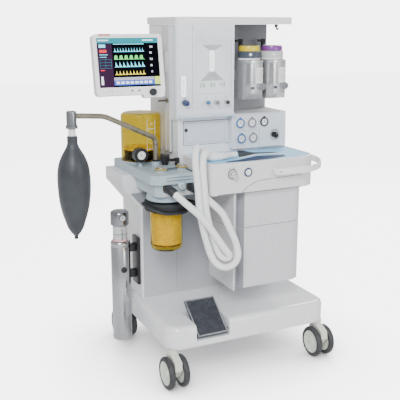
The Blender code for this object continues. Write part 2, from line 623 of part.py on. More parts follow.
def side_rail(look):
    """Aluminium T-slot rail on the left of the column, with a hose hook and the monitor's bracket."""
    inner = COLUMN_LEFT - GAP
    rail = block((inner - RAIL_THICK, 0.326, COLUMN_BOTTOM + 0.045), (inner, 0.396, SHELF_BOTTOM - GAP))
    slot = block((inner - 0.02, 0.355, 0), (inner - 0.004, 0.367, 2))
    px, py = ARM_PIVOT
    outer = inner - RAIL_THICK
    hook = lathe([(0, outer - 0.040), (0.0035, outer - 0.040), (0.0035, outer - 0.006), (0.0085, outer - 0.006),
                  (0.0085, outer + 0.002), (0, outer + 0.002)], (0, 0.341, 1.046), "X", 16)
    pad = block((outer - 0.012, 0.338, BRACKET_LOW - 0.002), (outer + 0.0015, 0.386, BRACKET_HIGH + 0.002))
    lugs = [block((px - 0.012, py - 0.012, low), (outer - 0.010, py + 0.012, low + 0.014), 0.008, "Z", 3)
            for low in (BRACKET_LOW, BRACKET_HIGH - 0.014)]
    pin = rod(0.005, BRACKET_LOW + 0.002, BRACKET_HIGH - 0.002, (px, py, 0), "Z", 16)
    place("side_rail", join(cut(rail, slot), hook, pad, *lugs, pin), look)


def flow_controls():
    """(name, x, z, radius) of the four needle-valve knobs on the flowmeter panel."""
    return [("auxiliary_oxygen_knob", -0.172, 1.044, 0.0120), ("nitrous_oxide_knob", -0.080, 1.042, 0.0085),
            ("air_knob", -0.040, 1.041, 0.0085), ("oxygen_knob", 0.004, 1.040, 0.0085)]


def flow_windows():
    """(name, x, low, high) of the two flow tubes."""
    return [("auxiliary_flow_tube", -0.176, 1.067, 1.144), ("main_flow_tube", -0.053, 1.160, 1.237)]


def flow_panel(look):
    right, back = COLUMN_MIDDLE, COLUMN_FRONT - GAP
    body = block((PANEL_LEFT, PANEL_FRONT, BAY_FLOOR), (right, back, SHELF_BOTTOM - GAP))
    left_front = [e for e in edges_along(body, "Z") if e.verts[0].co.x < 0 and e.verts[0].co.y < PANEL_FRONT + 1e-4]
    bevel(body, left_front, 0.012, 4)
    lip_depth = 0.014
    lip = prism([(PANEL_FRONT - lip_depth, BAY_FLOOR), (PANEL_FRONT + 0.01, BAY_FLOOR),
                 (PANEL_FRONT + 0.01, BAY_FLOOR + 0.020), (PANEL_FRONT - lip_depth, BAY_FLOOR + 0.006)],
                "X", PANEL_LEFT + 0.010, right)
    tools = [block((PANEL_SPLIT - 0.001, 0, 1.012), (PANEL_SPLIT + 0.001, PANEL_FRONT + 0.003, 1.5))]
    # the recessed field of the main flowmeter, with sloping ends
    deep, left, wide = 0.006, -0.124, 0.030
    tools.append(prism([(PANEL_FRONT - 0.001, 1.286), (PANEL_FRONT + deep, 1.262), (PANEL_FRONT + deep, 1.090),
                        (PANEL_FRONT - 0.001, 1.072)], "X", left, wide))
    floors = {"auxiliary_flow_tube": PANEL_FRONT, "main_flow_tube": PANEL_FRONT + deep}
    for name, x, low, high in flow_windows():
        tools.append(block((x - 0.009 - GAP, 0.2, low - GAP), (x + 0.009 + GAP, floors[name] + 0.006, high + GAP)))
    for _, x, z, _ in flow_controls():
        tools.append(rod(0.003 + RUN, 0.2, PANEL_FRONT + 0.012, (x, 0, z), "Y", 16))
    place("flow_panel", cut(join(body, lip), *tools), look)
    return floors


def flow_tubes(floors, look):
    for name, x, low, high in flow_windows():
        front = floors[name] - 0.002
        tube = block((x - 0.009, front, low), (x + 0.009, floors[name] + 0.006 - GAP, high), 0.004, "Y", 3)
        place(name, tube, look)


def flow_knobs(colors):
    for name, x, z, radius in flow_controls():
        axis = joint(name + "_axis", (x, PANEL_FRONT, z))
        front = PANEL_FRONT - 0.024
        profile = [(0, front), (radius - 0.0015, front), (radius, front + 0.0015), (radius, front + 0.012),
                   (radius * 0.8, front + 0.013), (radius * 0.8, PANEL_FRONT - 0.0006), (0.003, PANEL_FRONT - 0.0006),
                   (0.003, PANEL_FRONT + 0.0115), (0, PANEL_FRONT + 0.0115)]
        place(name, lathe(profile, (x, 0, z), "Y", 16), colors[name], axis)


def gauge_spots():
    """(x, z) of the five pressure gauges: three above, two below."""
    return [(0.070, 0.952), (0.124, 0.951), (0.180, 0.952), (0.076, 0.890), (0.130, 0.890)]


def gauge_panel(look, knob_look):
    back = COLUMN_FRONT - GAP
    body = block((0.036, GAUGE_FRONT, 0.848), (0.276, back, 0.983), 0.006, "Y", 3)
    boss = block((0.160, GAUGE_FRONT - 0.006, 0.850), (0.284, back, 0.942), 0.010, "Y", 4)
    gauges = [rod(GAUGE_RADIUS, GAUGE_FRONT - 0.008, GAUGE_FRONT + 0.005, (x, 0, z), "Y", 20, 0.002)
              for x, z in gauge_spots()]
    x, z = 0.232, 0.896
    dish = lathe([(0, GAUGE_FRONT + 0.004), (0.016, GAUGE_FRONT + 0.004), (0.024, GAUGE_FRONT - 0.007),
                  (0, GAUGE_FRONT - 0.007)], (x, 0, z), "Y", 20)
    hole = rod(0.004 + RUN, 0.2, GAUGE_FRONT + 0.016, (x, 0, z), "Y", 16)
    place("gauge_panel", cut(join(body, boss, *gauges), dish, hole), look)
    axis = joint("system_switch_axis", (x, GAUGE_FRONT, z))
    front = GAUGE_FRONT - 0.020
    profile = [(0, front), (0.0105, front), (0.012, front + 0.002), (0.013, GAUGE_FRONT + 0.003),
               (0.004, GAUGE_FRONT + 0.003), (0.004, GAUGE_FRONT + 0.0155), (0, GAUGE_FRONT + 0.0155)]
    pointer = block((x - 0.0025, front - 0.004, z - 0.011), (x + 0.0025, front + 0.004, z + 0.011))
    place("system_switch", join(lathe(profile, (x, 0, z), "Y", 16), pointer), knob_look, axis)


# ---------------------------------------------------------------- vaporizers
def vaporizer(side, x, body_look, dial_look, lever_look):
    half_w, half_d = VAPORIZER_WIDTH / 2, VAPORIZER_DEPTH / 2
    front, back = VAPORIZER_Y - half_d, VAPORIZER_Y + half_d
    body = block((x - half_w, front, VAPORIZER_LOW), (x + half_w, back, VAPORIZER_HIGH), 0.032, "Z", 5)
    neck_back = BAY_BACK - 0.030 - GAP
    neck = block((x - 0.026, back - 0.02, 1.112), (x + 0.026, neck_back, VAPORIZER_HIGH))
    filler = rod(0.013, front - 0.012, front + 0.03, (x + 0.026, 0, 1.092), "Y", 16, 0.002)
    slope = prism([(front - 0.01, VAPORIZER_LOW - 0.01), (front + 0.030, VAPORIZER_LOW - 0.01),
                   (front - 0.01, VAPORIZER_LOW + 0.035)], "X", x - 0.1, x + 0.1)
    lever_y = (back + neck_back) / 2 + 0.002
    socket = rod(0.005 + RUN, VAPORIZER_HIGH - 0.020, VAPORIZER_HIGH + 0.01, (x, lever_y, 0), "Z", 16)
    spindle = rod(0.006 + RUN, VAPORIZER_HIGH - 0.020, VAPORIZER_HIGH + 0.01, (x, VAPORIZER_Y, 0), "Z", 16)
    place("vaporizer_" + side, cut(join(cut(body, slope), neck, filler), socket, spindle), body_look)

    low = VAPORIZER_HIGH + 2 * GAP
    top = low + DIAL_HEIGHT
    axis = joint("vaporizer_dial_axis_" + side, (x, VAPORIZER_Y, low))
    r = DIAL_RADIUS
    profile = [(0, VAPORIZER_HIGH - 0.0195), (0.006, VAPORIZER_HIGH - 0.0195), (0.006, low), (r - 0.001, low),
               (r, low + 0.002), (r, top - 0.022), (r - 0.004, top - 0.020), (r - 0.004, top - 0.003),
               (r - 0.007, top), (0, top)]
    place("vaporizer_dial_" + side, lathe(profile, (x, VAPORIZER_Y, 0), "Z", 28), dial_look, axis)

    axis = joint("vaporizer_lock_axis_" + side, (x, lever_y, low))
    stem = lathe([(0, VAPORIZER_HIGH - 0.0195), (0.005, VAPORIZER_HIGH - 0.0195), (0.005, low), (0.0085, low),
                  (0.0085, low + 0.066), (0.011, low + 0.068), (0.011, low + 0.080), (0, low + 0.082)],
                 (x, lever_y, 0), "Z", 16)
    tongue = block((x - 0.026, lever_y - 0.006, low + 0.069), (x, lever_y + 0.006, low + 0.079), 0.003, "Z", 2)
    place("vaporizer_lock_" + side, join(stem, tongue), lever_look, axis)


# ---------------------------------------------------------------- monitor
def monitor(casing, steel, black):
    px, py = ARM_PIVOT
    mid = (BRACKET_LOW + BRACKET_HIGH) / 2
    swing = joint("monitor_swing_axis", (px, py, mid))
    tx, ty, tz = MONITOR_PIVOT
    eye = rod(0.012, BRACKET_LOW + 0.0145, BRACKET_HIGH - 0.0145, (px, py, 0), "Z", 16)
    bar = block((tx - 0.012, py - 0.003, mid - 0.014), (px - 0.0085, py + 0.009, mid + 0.014))
    knuckle = block((tx - 0.012, ty + 0.002, tz - 0.009), (tx + 0.012, py, tz + 0.009))
    barrel = rod(0.012, tx - 0.026, tx + 0.026, (0, ty, tz), "X", 16)
    swing_bore = rod(0.005 + RUN, BRACKET_LOW, BRACKET_HIGH, (px, py, 0), "Z", 16)
    tilt_bore = rod(0.004 + RUN, tx - 0.04, tx + 0.04, (0, ty, tz), "X", 16)
    place("monitor_arm", cut(cut(join(eye, bar, barrel, knuckle), tilt_bore), swing_bore), steel, swing)

    tilt = joint("monitor_tilt_axis", MONITOR_PIVOT, swing)
    half_w, half_h = MONITOR_WIDTH / 2, MONITOR_HEIGHT / 2
    front, rear = ty - MONITOR_FRONT, ty - MONITOR_REAR
    shell = block((tx - half_w, front, tz - half_h), (tx + half_w, rear, tz + half_h), 0.014, "Y", 4)
    bevel(shell, edges_at(shell, "Y", rear), 0.008, 2)
    knob_x, knob_z = tx + half_w - 0.0525, tz - 0.1045
    bulge = block((tx + half_w - 0.0895, front, tz - half_h - 0.012), (tx + half_w - 0.003, rear - 0.010, tz - 0.090),
                  0.010, "Y", 3)
    ears = [block((tx + low, rear - 0.004, tz - 0.010), (tx + low + 0.008, ty + 0.010, tz + 0.010), 0.008, "X", 3)
            for low in (-0.0345, 0.0265)]
    pin = rod(0.004, tx - 0.034, tx + 0.034, (0, ty, tz), "X", 16)
    glass_hole = block((tx - half_w + 0.015, front - 0.01, tz - half_h + 0.030),
                       (tx + half_w - 0.0165, front + 0.002, tz + half_h - 0.014))
    knob_hole = rod(0.003 + RUN, front - 0.01, front + 0.012, (knob_x, 0, knob_z), "Y", 16)
    housing = cut(join(shell, bulge, *ears, pin), glass_hole, knob_hole)
    place("monitor_housing", housing, casing, tilt)
    turn = joint("monitor_knob_axis", (knob_x, front, knob_z), tilt)
    profile = [(0, front - 0.016), (0.0115, front - 0.016), (0.013, front - 0.014), (0.013, front - 0.0006),
               (0.003, front - 0.0006), (0.003, front + 0.0115), (0, front + 0.0115)]
    place("monitor_knob", lathe(profile, (knob_x, 0, knob_z), "Y", 16), black, turn)
    tilt.rotation_euler = (-MONITOR_LEAN, 0, 0)


# ---------------------------------------------------------------- breathing system
def absorber(look):
    split = COLUMN_LEFT - 0.003
    chamfer = 0.026
    tray = prism([(TRAY_LEFT, TRAY_FRONT + chamfer), (TRAY_LEFT + chamfer, TRAY_FRONT),
                  (TRAY_RIGHT - 0.012, TRAY_FRONT), (TRAY_RIGHT, TRAY_FRONT + 0.012),
                  (TRAY_RIGHT, COLUMN_FRONT - 0.004), (split, COLUMN_FRONT - 0.004),
                  (split, TRAY_BACK), (TRAY_LEFT, TRAY_BACK)], "Z", TRAY_BOTTOM, TRAY_TOP)
    bevel(tray, edges_at(tray, "Z", TRAY_TOP), 0.005, 2)
    front = TRAY_FRONT + 0.014
    lower_back = PEDESTAL_FRONT - COVER_THICK - 2 * GAP
    lower = prism([(-0.346, front + 0.020), (-0.326, front), (-0.190, front), (-0.190, lower_back),
                   (-0.346, lower_back)], "Z", 0.716, TRAY_BOTTOM + 0.01)
    cx, cy = CANISTER
    head = lathe([(0, ABSORBER_BOTTOM), (0.074, ABSORBER_BOTTOM), (0.076, ABSORBER_BOTTOM + 0.002),
                  (0.076, ABSORBER_BOTTOM + 0.012), (0.066, 0.720), (0, 0.720)], (cx, cy, 0), "Z", 28)
    ports = [rod(0.0150, front - 0.008, front + 0.01, (x, 0, z), "Y") for x, z in ELBOWS]
    vx = (ELBOWS[0][0] + ELBOWS[1][0]) / 2
    sensor_seat = rod(0.012, front - 0.005, front + 0.01, (vx, 0, 0.759), "Y")
    seats = [rod(0.0235, TRAY_TOP - 0.01, TRAY_TOP + 0.004, (x, y, 0), "Z", 20) for x, y in CHECK_VALVES]
    socket = rod(0.017, TRAY_TOP - 0.01, TRAY_TOP + 0.014, (*ARM_POST, 0), "Z", 16, 0.002)
    dome_seat = lathe([(DOME_RADIUS + 0.001, TRAY_TOP - 0.002), (DOME_RADIUS + 0.004, TRAY_TOP - 0.002),
                       (DOME_RADIUS + 0.004, TRAY_TOP + 0.005), (DOME_RADIUS + 0.001, TRAY_TOP + 0.005)],
                      (*DOME, 0), "Z", 28)
    sensor = rod(0.0125, front - 0.031, front - 0.004, (vx, 0, 0.759), "Y", 16, 0.003)
    gx, gy, gz = -0.331, 0.322, TRAY_TOP + 0.043
    gauge_post = rod(0.008, TRAY_TOP - 0.01, gz - 0.020, (gx, gy, 0), "Z", 16)
    gauge = rod(0.0285, gy - 0.016, gy + 0.014, (gx, 0, gz), "Y", 24, 0.003)
    body = join(tray, lower, head, *ports, sensor_seat, sensor, *seats, socket, dome_seat, gauge_post, gauge)
    holes = [rod(ARM_RADIUS + RUN, TRAY_TOP - 0.020, TRAY_TOP + 0.05, (*ARM_POST, 0), "Z", 16),
             *(rod(0.004 + RUN, TRAY_TOP - 0.012, TRAY_TOP + 0.01, (*spot, 0), "Z", 16)
               for spot in (LIMITING_VALVE, CHANGEOVER_LEVER))]
    place("absorber_body", cut(body, *holes), look)


def valve_domes(look):
    """Clear caps of the two check valves, joined by the strip between them."""
    low = TRAY_TOP + 0.004 + GAP
    caps = []
    for x, y in CHECK_VALVES:
        profile = [(0, low), (0.0225, low), (0.0225, low + 0.007), (0.0185, low + 0.008)]
        profile += [(0.018 * cos(radians(a)), low + 0.008 + 0.010 * sin(radians(a))) for a in (15, 40, 65)]
        profile.append((0, low + 0.018))
        caps.append(lathe(profile, (x, y, 0), "Z", 20))
    (ax, ay), (bx, by) = CHECK_VALVES
    strip = sweep([Vector((ax, ay, low + 0.0015)), Vector((bx, by, low + 0.0015))],
                  [(-0.006, -0.0015), (0.006, -0.0015), (0.006, 0.0015), (-0.006, 0.0015)])
    place("check_valve_caps", join(strip, *caps), look)


def bellows(dome_look, skin_look, disc_look):
    low, r, wall = TRAY_TOP + GAP, DOME_RADIUS, DOME_WALL
    top = DOME_TOP
    profile = [(r, low), (r, top - 0.016), (r - 0.005, top - 0.005), (r - 0.016, top), (0, top), (0, top - wall)]
    profile += [(r - 0.017, top - wall), (r - wall - 0.004, top - 0.007), (r - wall, top - 0.017), (r - wall, low)]
    bm = lathe_shell(profile, (*DOME, 0), 32)
    place("bellows_dome", bm, dome_look)
    fold, valley = BELLOWS_RADIUS, BELLOWS_RADIUS - 0.006
    skin = [(0, low), (valley, low)]
    folds = 4
    pitch = (BELLOWS_TOP - low - 0.002) / folds
    for k in range(folds):
        skin += [(valley, low + k * pitch + 0.002), (fold, low + (k + 0.5) * pitch),
                 (valley, low + (k + 1) * pitch)]
    skin.append((0, low + folds * pitch))
    place("bellows", lathe(skin, (*DOME, 0), "Z", 24), skin_look)
    axis = joint("bellows_axis", (*DOME, BELLOWS_TOP))
    disc = lathe([(0, BELLOWS_TOP), (fold - 0.001, BELLOWS_TOP), (fold, BELLOWS_TOP + 0.002),
                  (fold, BELLOWS_TOP + 0.008), (fold - 0.004, BELLOWS_TOP + 0.010), (0, BELLOWS_TOP + 0.012)],
                 (*DOME, 0), "Z", 28)
    place("bellows_disc", disc, disc_look, axis)


def lathe_shell(profile, centre, segments):
    """A thin cup: a profile that touches the axis in its middle, with both ends off the axis."""
    touches = [k for k, (radius, _) in enumerate(profile) if radius < 1e-9]
    first, last = touches[0], touches[-1]
    outer, inner = profile[:first + 1], profile[last:]
    bm = bmesh.new()
    turn = 2 * pi / segments
    sheets = []
    for part in (outer, inner):
        rings = []
        for radius, height in part:
            count = 1 if radius < 1e-9 else segments
            rings.append([bm.verts.new((radius * cos(k * turn), radius * sin(k * turn), height))
                          for k in range(count)])
        sheets.append(rings)
    loops = list(zip(sheets[0], sheets[0][1:])) + list(zip(sheets[1], sheets[1][1:]))
    loops.append((sheets[1][-1], sheets[0][0]))
    for lower, upper in loops:
        for k in range(segments):
            n = (k + 1) % segments
            if len(lower) == 1:
                bm.faces.new((lower[0], upper[n], upper[k]))
            elif len(upper) == 1:
                bm.faces.new((lower[k], lower[n], upper[0]))
            else:
                bm.faces.new((lower[k], lower[n], upper[n], upper[k]))
    bmesh.ops.translate(bm, vec=centre, verts=bm.verts)
    bmesh.ops.recalc_face_normals(bm, faces=bm.faces)
    return bm


def canister(look, clamp_look):
    cx, cy = CANISTER
    r, wall, low, high = CANISTER_RADIUS, CANISTER_WALL, CANISTER_LOW, CANISTER_HIGH
    drop = joint("canister_axis", (cx, cy, low))
    profile = [(r, high), (r, low + 0.020), (r - 0.005, low + 0.007), (r - 0.016, low), (0, low), (0, low + wall)]
    profile += [(r - 0.017, low + wall), (r - wall - 0.004, low + 0.009), (r - wall, low + 0.021), (r - wall, high)]
    place("absorbent_canister", lathe_shell(profile, (cx, cy, 0), 32), look, drop)

    turn = joint("clamp_axis", (cx, cy, 0.665))
    ring = lathe([(r + 0.0015, 0.650), (0.080, 0.650), (0.084, 0.654), (0.084, 0.684), (r + 0.0015, 0.684)],
                 (cx, cy, 0), "Z", 32)
    bail_path = [(cx - 0.078, cy + 0.010, 0.672), (cx - 0.100, cy - 0.004, 0.684), (cx - 0.085, cy - 0.050, 0.668),
                 (cx - 0.040, cy - 0.086, 0.652), (cx + 0.030, cy - 0.090, 0.650), (cx + 0.085, cy - 0.055, 0.660),
                 (cx + 0.112, cy - 0.022, 0.672), (cx + 0.080, cy + 0.002, 0.672)]
    bail = sweep(rounded_path(bail_path, 0.02, 3), circle(0.0065, 6))
    place("canister_clamp", join(ring, bail), clamp_look, turn)


def bag_arm(look, bag_look):
    swing = joint("bag_arm_axis", (*ARM_POST, TRAY_TOP))
    x, y = ARM_POST
    bx, by = BAG
    path = rounded_path([(x, y, TRAY_TOP - 0.019), (x, y, ARM_RISE), (-0.485, 0.279, ARM_HIGH),
                         (bx + 0.010, by + 0.002, 1.017)], ARM_BEND, 4)
    tube = sweep(path, circle(ARM_RADIUS, 12), up=(0.19, -0.98, 0))
    head = lathe([(0, 0.9725), (0.0215, 0.9725), (0.0215, 0.984), (0.018, 0.986), (0.018, 1.030), (0.015, 1.035),
                  (0, 1.035)], (bx, by, 0), "Z", 20)
    collar = rod(0.0135, BAG_TOP + GAP, 0.975, (bx, by, 0), "Z", 16, 0.001)
    place("bag_arm", join(tube, head, collar), look, swing)
    top, low, r = BAG_TOP, BAG_BOTTOM, BAG_RADIUS
    profile = [(0, low), (0.007, low), (0.007, low + 0.014), (0.020, low + 0.028), (r * 0.62, low + 0.070),
               (r * 0.88, low + 0.130), (r, low + 0.205), (r * 0.96, low + 0.260), (r * 0.72, low + 0.310),
               (r * 0.42, low + 0.340), (0.019, low + 0.355), (0.0185, top), (0, top)]
    place("breathing_bag", lathe(profile, (bx, by, 0), "Z", 20), bag_look, swing)


def absorber_controls(black):
    """Pressure-limiting valve and the lever that chooses bag or ventilator."""
    ax, ay = LIMITING_VALVE
    axis = joint("limiting_valve_axis", (ax, ay, TRAY_TOP))
    low = TRAY_TOP + GAP
    profile = [(0, TRAY_TOP - 0.0115), (0.004, TRAY_TOP - 0.0115), (0.004, low), (0.013, low), (0.013, low + 0.010),
               (0.0165, low + 0.012), (0.0185, low + 0.038), (0.016, low + 0.042), (0, low + 0.042)]
    place("pressure_limiting_valve", lathe(profile, (ax, ay, 0), "Z", 16), black, axis)
    lx, ly = CHANGEOVER_LEVER
    axis = joint("bag_ventilator_axis", (lx, ly, TRAY_TOP))
    profile = [(0, TRAY_TOP - 0.0115), (0.004, TRAY_TOP - 0.0115), (0.004, low), (0.009, low), (0.009, low + 0.030),
               (0.007, low + 0.032), (0, low + 0.032)]
    grip = block((lx - 0.032, ly - 0.007, low + 0.018), (lx + 0.009, ly + 0.007, low + 0.031), 0.006, "Z", 3)
    place("bag_ventilator_lever", join(lathe(profile, (lx, ly, 0), "Z", 16), grip), black, axis)


def elbows(look):
    """Black elbows on the two breathing ports; returns where each hose starts and its direction."""
    starts = []
    port = TRAY_FRONT + 0.014 - 0.008
    for name, (x, z) in zip(("exhale_elbow", "inhale_elbow"), ELBOWS):
        bend = Vector((x, port - 0.026, z))
        ahead = Vector((0.42, -0.62, -0.48)).normalized()
        tip = bend + ahead * ELBOW_LENGTH
        path = rounded_path([(x, port - GAP, z), bend, tip], 0.018, 4)
        place(name, sweep(path, circle(ELBOW_RADIUS, 12)), look)
        starts.append((tip + ahead * (3 * GAP), ahead))
    return starts


def smooth_route(points, spacing):
    """Evenly spaced points on a Catmull-Rom curve through the route's points."""
    points = [Vector(p) for p in points]
    padded = [2 * points[0] - points[1]] + points + [2 * points[-1] - points[-2]]
    fine = []
    for a, b, c, d in zip(padded, padded[1:], padded[2:], padded[3:]):
        for k in range(24):
            t = k / 24
            fine.append(0.5 * ((2 * b) + (c - a) * t + (2 * a - 5 * b + 4 * c - d) * t ** 2
                               + (3 * b - a - 3 * c + d) * t ** 3))
    fine.append(points[-1])
    total = sum((b - a).length for a, b in zip(fine, fine[1:]))
    count = ceil(total / spacing)
    route, walked, goal = [fine[0]], 0.0, total / count
    for a, b in zip(fine, fine[1:]):
        step = (b - a).length
        while walked + step >= goal - 1e-9 and len(route) < count:
            route.append(a.lerp(b, (goal - walked) / step))
            goal += total / count
        walked += step
    return route + [fine[-1]]


def cord(name, route, radius, look):
    data = bpy.data.curves.new(name, "CURVE")
    data.dimensions = "3D"
    data.bevel_depth = radius
    data.bevel_resolution = 3
    data.use_fill_caps = True
    data.render_resolution_u = 0
    line = data.splines.new("POLY")
    line.points.add(len(route) - 1)
    for slot, point in zip(line.points, route):
        slot.co = (*point, 1)
    data.materials.append(look)
    made = bpy.data.objects.new(name, data)
    bpy.context.collection.objects.link(made)
    made.parent = root


def hose_routes(starts):
    """The two hoses: from the elbows down to the low point of the loop and up over the worktop's corner."""
    (start_a, way_a), (start_b, way_b) = starts
    limb_a, limb_b = (Vector((x - 0.0115, y, Y_PIECE[2])) for x, y in Y_LIMBS)
    lead = 0.046
    before = Vector((-lead, 0, 0.001))
    exhale = [start_a, start_a + way_a * lead, (-0.234, -0.022, 0.666), (-0.188, -0.026, 0.606),
              (-0.142, -0.024, 0.540), (-0.116, -0.018, 0.504), (-0.126, -0.004, 0.490), (-0.147, 0.006, 0.512),
              (-0.170, 0.013, 0.580), (-0.193, 0.016, 0.670), (-0.201, 0.017, 0.760), (-0.196, 0.040, 0.840),
              (-0.172, 0.072, 0.876), limb_a + before, limb_a]
    inhale = [start_b, start_b + way_b * lead, (-0.148, -0.020, 0.670), (-0.120, -0.029, 0.610),
              (-0.096, -0.030, 0.556), (-0.084, -0.028, 0.504), (-0.097, -0.017, 0.466), (-0.134, 0.000, 0.455),
              (-0.172, 0.010, 0.494), (-0.200, 0.013, 0.580), (-0.220, 0.013, 0.670), (-0.228, 0.014, 0.760),
              (-0.221, 0.050, 0.848), (-0.194, 0.098, 0.891), (-0.164, 0.126, 0.880), limb_b + before, limb_b]
    return exhale, inhale


def y_piece(look):
    """The piece that joins both hoses to the patient, lying on the mat."""
    x, y, z = Y_PIECE
    limbs = [sweep([Vector((lx - 0.010, ly, z)), Vector((lx + 0.008, ly, z)), Vector((x + 0.012, y, z))],
                   circle(0.0095, 12)) for lx, ly in Y_LIMBS]
    stem = sweep([Vector((x, y, z)), Vector((x + 0.045, y + 0.004, z))], circle(0.0105, 12))
    hub = lathe([(0, -0.012), (0.008, -0.010), (0.012, 0), (0.008, 0.010), (0, 0.012)], (x + 0.010, y, z), "Z", 12)
    place("y_piece", join(*limbs, stem, hub), look)


def waste_gas(steel):
    """Scavenging receiver: metal body and its head, on a bracket at the pedestal's left."""
    x, y = RECEIVER
    r, low, top = RECEIVER_RADIUS, RECEIVER_BOTTOM, RECEIVER_TOP
    body = lathe([(0, low), (r - 0.003, low), (r, low + 0.003), (r, 0.484), (r - 0.004, 0.490), (0, 0.490)],
                 (x, y, 0), "Z", 28)
    knob = rod(0.0125, y - r - 0.004, y - r + 0.02, (x, 0, 0.376), "Y", 16, 0.001)
    inner = PEDESTAL_LEFT - GAP
    plate_front = min(y - 0.030, PEDESTAL_FRONT + 0.014)
    plate_back = max(y + 0.030, PEDESTAL_FRONT + 0.074)
    bracket = join(block((inner - 0.012, plate_front, 0.300), (inner, plate_back, 0.500)),
                   block((x + 0.020, y - 0.014, 0.330), (inner - 0.006, y + 0.014, 0.360)),
                   block((x + 0.020, y - 0.014, 0.440), (inner - 0.006, y + 0.014, 0.470)))
    place("waste_gas_receiver", join(body, knob, bracket), steel)
    head = lathe([(0, 0.490 + GAP), (0.029, 0.490 + GAP), (0.029, 0.556), (0.035, 0.556), (0.037, 0.560),
                  (0.037, top - 0.004), (0.033, top), (0, top)], (x, y, 0), "Z", 24)
    place("receiver_head", head, steel)


# ---------------------------------------------------------------- assembly
def clear_scene():
    for old in list(bpy.data.objects):
        bpy.data.objects.remove(old, do_unlink=True)


def stand_on_origin():
    """Moves the machine so that the origin is under the middle of its bounding box, hoses aside."""
    bpy.context.view_layer.update()
    corners = [made.matrix_world @ Vector(corner) for made in bpy.data.objects
               if made.type == "MESH" and made.name != "y_piece" for corner in made.bound_box]
    low = [min(c[i] for c in corners) for i in range(3)]
    high = [max(c[i] for c in corners) for i in range(3)]
    root.location -= Vector(((low[0] + high[0]) / 2, (low[1] + high[1]) / 2, low[2]))


def main():
    global root
    clear_scene()
    root = joint("machine_root", (0, 0, 0))
    look = looks()
    trolley_base(look["casing"])
    for name, x, y in castor_spots():
        castor(name, x, y, look["castor"], look["tyre"])
    brake_pedal(look["dark"])
    pedestal(look["casing"], look["cover"])
    drawer_cabinet(look["casing"])
    drawer("lower_drawer", DRAWER_BOTTOM, DRAWER_SEAM - 0.001, look["drawer"])
    drawer("upper_drawer", DRAWER_SEAM + 0.001, DRAWER_TOP, look["drawer"])
    worktop(look["casing"], look["mat"])
    apron_switches(look["steel"])
    handle_rail(look["casing"])
    upper_cabinet(look["casing"])
    service_door(look["casing"])
    top_shelf(look["casing"])
    side_rail(look["steel"])
    floors = flow_panel(look["casing"])
    flow_tubes(floors, look["clear"])
    flow_knobs({"auxiliary_oxygen_knob": look["blue"], "nitrous_oxide_knob": look["blue"],
                "air_knob": look["grey"], "oxygen_knob": look["black"]})
    gauge_panel(look["casing"], look["black"])
    for side, x in zip(("left", "right"), VAPORIZER_X):
        vaporizer(side, x, look["steel"], look["cover"], look["dark"])
    monitor(look["casing"], look["steel"], look["dark"])
    absorber(look["absorber"])
    valve_domes(look["clear"])
    bellows(look["amber"], look["black"], look["yellow"])
    canister(look["amber"], look["black"])
    bag_arm(look["nickel"], look["bag"])
    absorber_controls(look["black"])
    exhale, inhale = hose_routes(elbows(look["black"]))
    cord("exhale_hose", smooth_route(exhale, 4 * HOSE_RADIUS), HOSE_RADIUS, look["hose"])
    cord("inhale_hose", smooth_route(inhale, 4 * HOSE_RADIUS), HOSE_RADIUS, look["hose"])
    y_piece(look["hose"])
    waste_gas(look["steel"])
    stand_on_origin()


main()
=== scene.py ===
"""Looks of the anesthesia machine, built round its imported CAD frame.

Pieces are placed in trolley coordinates: X to the right from the middle of the base, Y back from its
front face and Z up from the floor, all in metres. at() turns them into the row frame.
"""

from math import ceil, cos, pi, radians, sin, tau

import bmesh
import bpy
from mathutils import Matrix, Vector


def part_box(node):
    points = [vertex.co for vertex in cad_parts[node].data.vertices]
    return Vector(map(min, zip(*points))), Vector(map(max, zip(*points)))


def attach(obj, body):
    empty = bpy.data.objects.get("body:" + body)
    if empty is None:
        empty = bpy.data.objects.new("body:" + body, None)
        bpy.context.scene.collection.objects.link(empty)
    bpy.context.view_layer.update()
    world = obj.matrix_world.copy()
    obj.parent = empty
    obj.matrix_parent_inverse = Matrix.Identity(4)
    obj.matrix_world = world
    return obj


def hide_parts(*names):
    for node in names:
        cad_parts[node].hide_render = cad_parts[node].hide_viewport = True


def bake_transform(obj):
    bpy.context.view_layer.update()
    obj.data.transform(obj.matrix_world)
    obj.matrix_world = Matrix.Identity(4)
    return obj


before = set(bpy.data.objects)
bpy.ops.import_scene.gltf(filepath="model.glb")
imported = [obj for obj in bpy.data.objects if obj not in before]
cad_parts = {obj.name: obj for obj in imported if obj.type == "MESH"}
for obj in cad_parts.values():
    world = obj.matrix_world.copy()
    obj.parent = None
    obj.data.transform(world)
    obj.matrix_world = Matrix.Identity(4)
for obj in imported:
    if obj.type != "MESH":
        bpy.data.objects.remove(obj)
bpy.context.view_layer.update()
BASE_LOW, BASE_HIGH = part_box("trolley_base")
SHIFT = Vector(((BASE_LOW.x + BASE_HIGH.x) / 2, BASE_LOW.y, 0))
ROOT = "machine_frame"
SKIN = 0.0004                   # how far a surface detail stands off what it lies on


def at(x, y, z):
    """A place in trolley coordinates, as a place in the row frame."""
    return Vector((x, y, z)) + SHIFT


# ---------------------------------------------------------------- camera, light and floor
FOCAL_LENGTH, FILM_WIDTH = 64.35, 36                # mm
CAMERA_SPOT = (-1.30, -2.25, 1.335)
CAMERA_HEADING, CAMERA_DOWN = (0.4305, 0.9026), radians(13.8)
ROOM_LIGHT, ROOM_SEEN, FLOOR_SEEN = 0.76, 5.4, 4.2  # strengths: on the object, and as the camera sees them
SHADOW_REACH, SHADOW_DEPTH = 0.42, 2.2              # how far the floor's shade spreads, and how dark it is


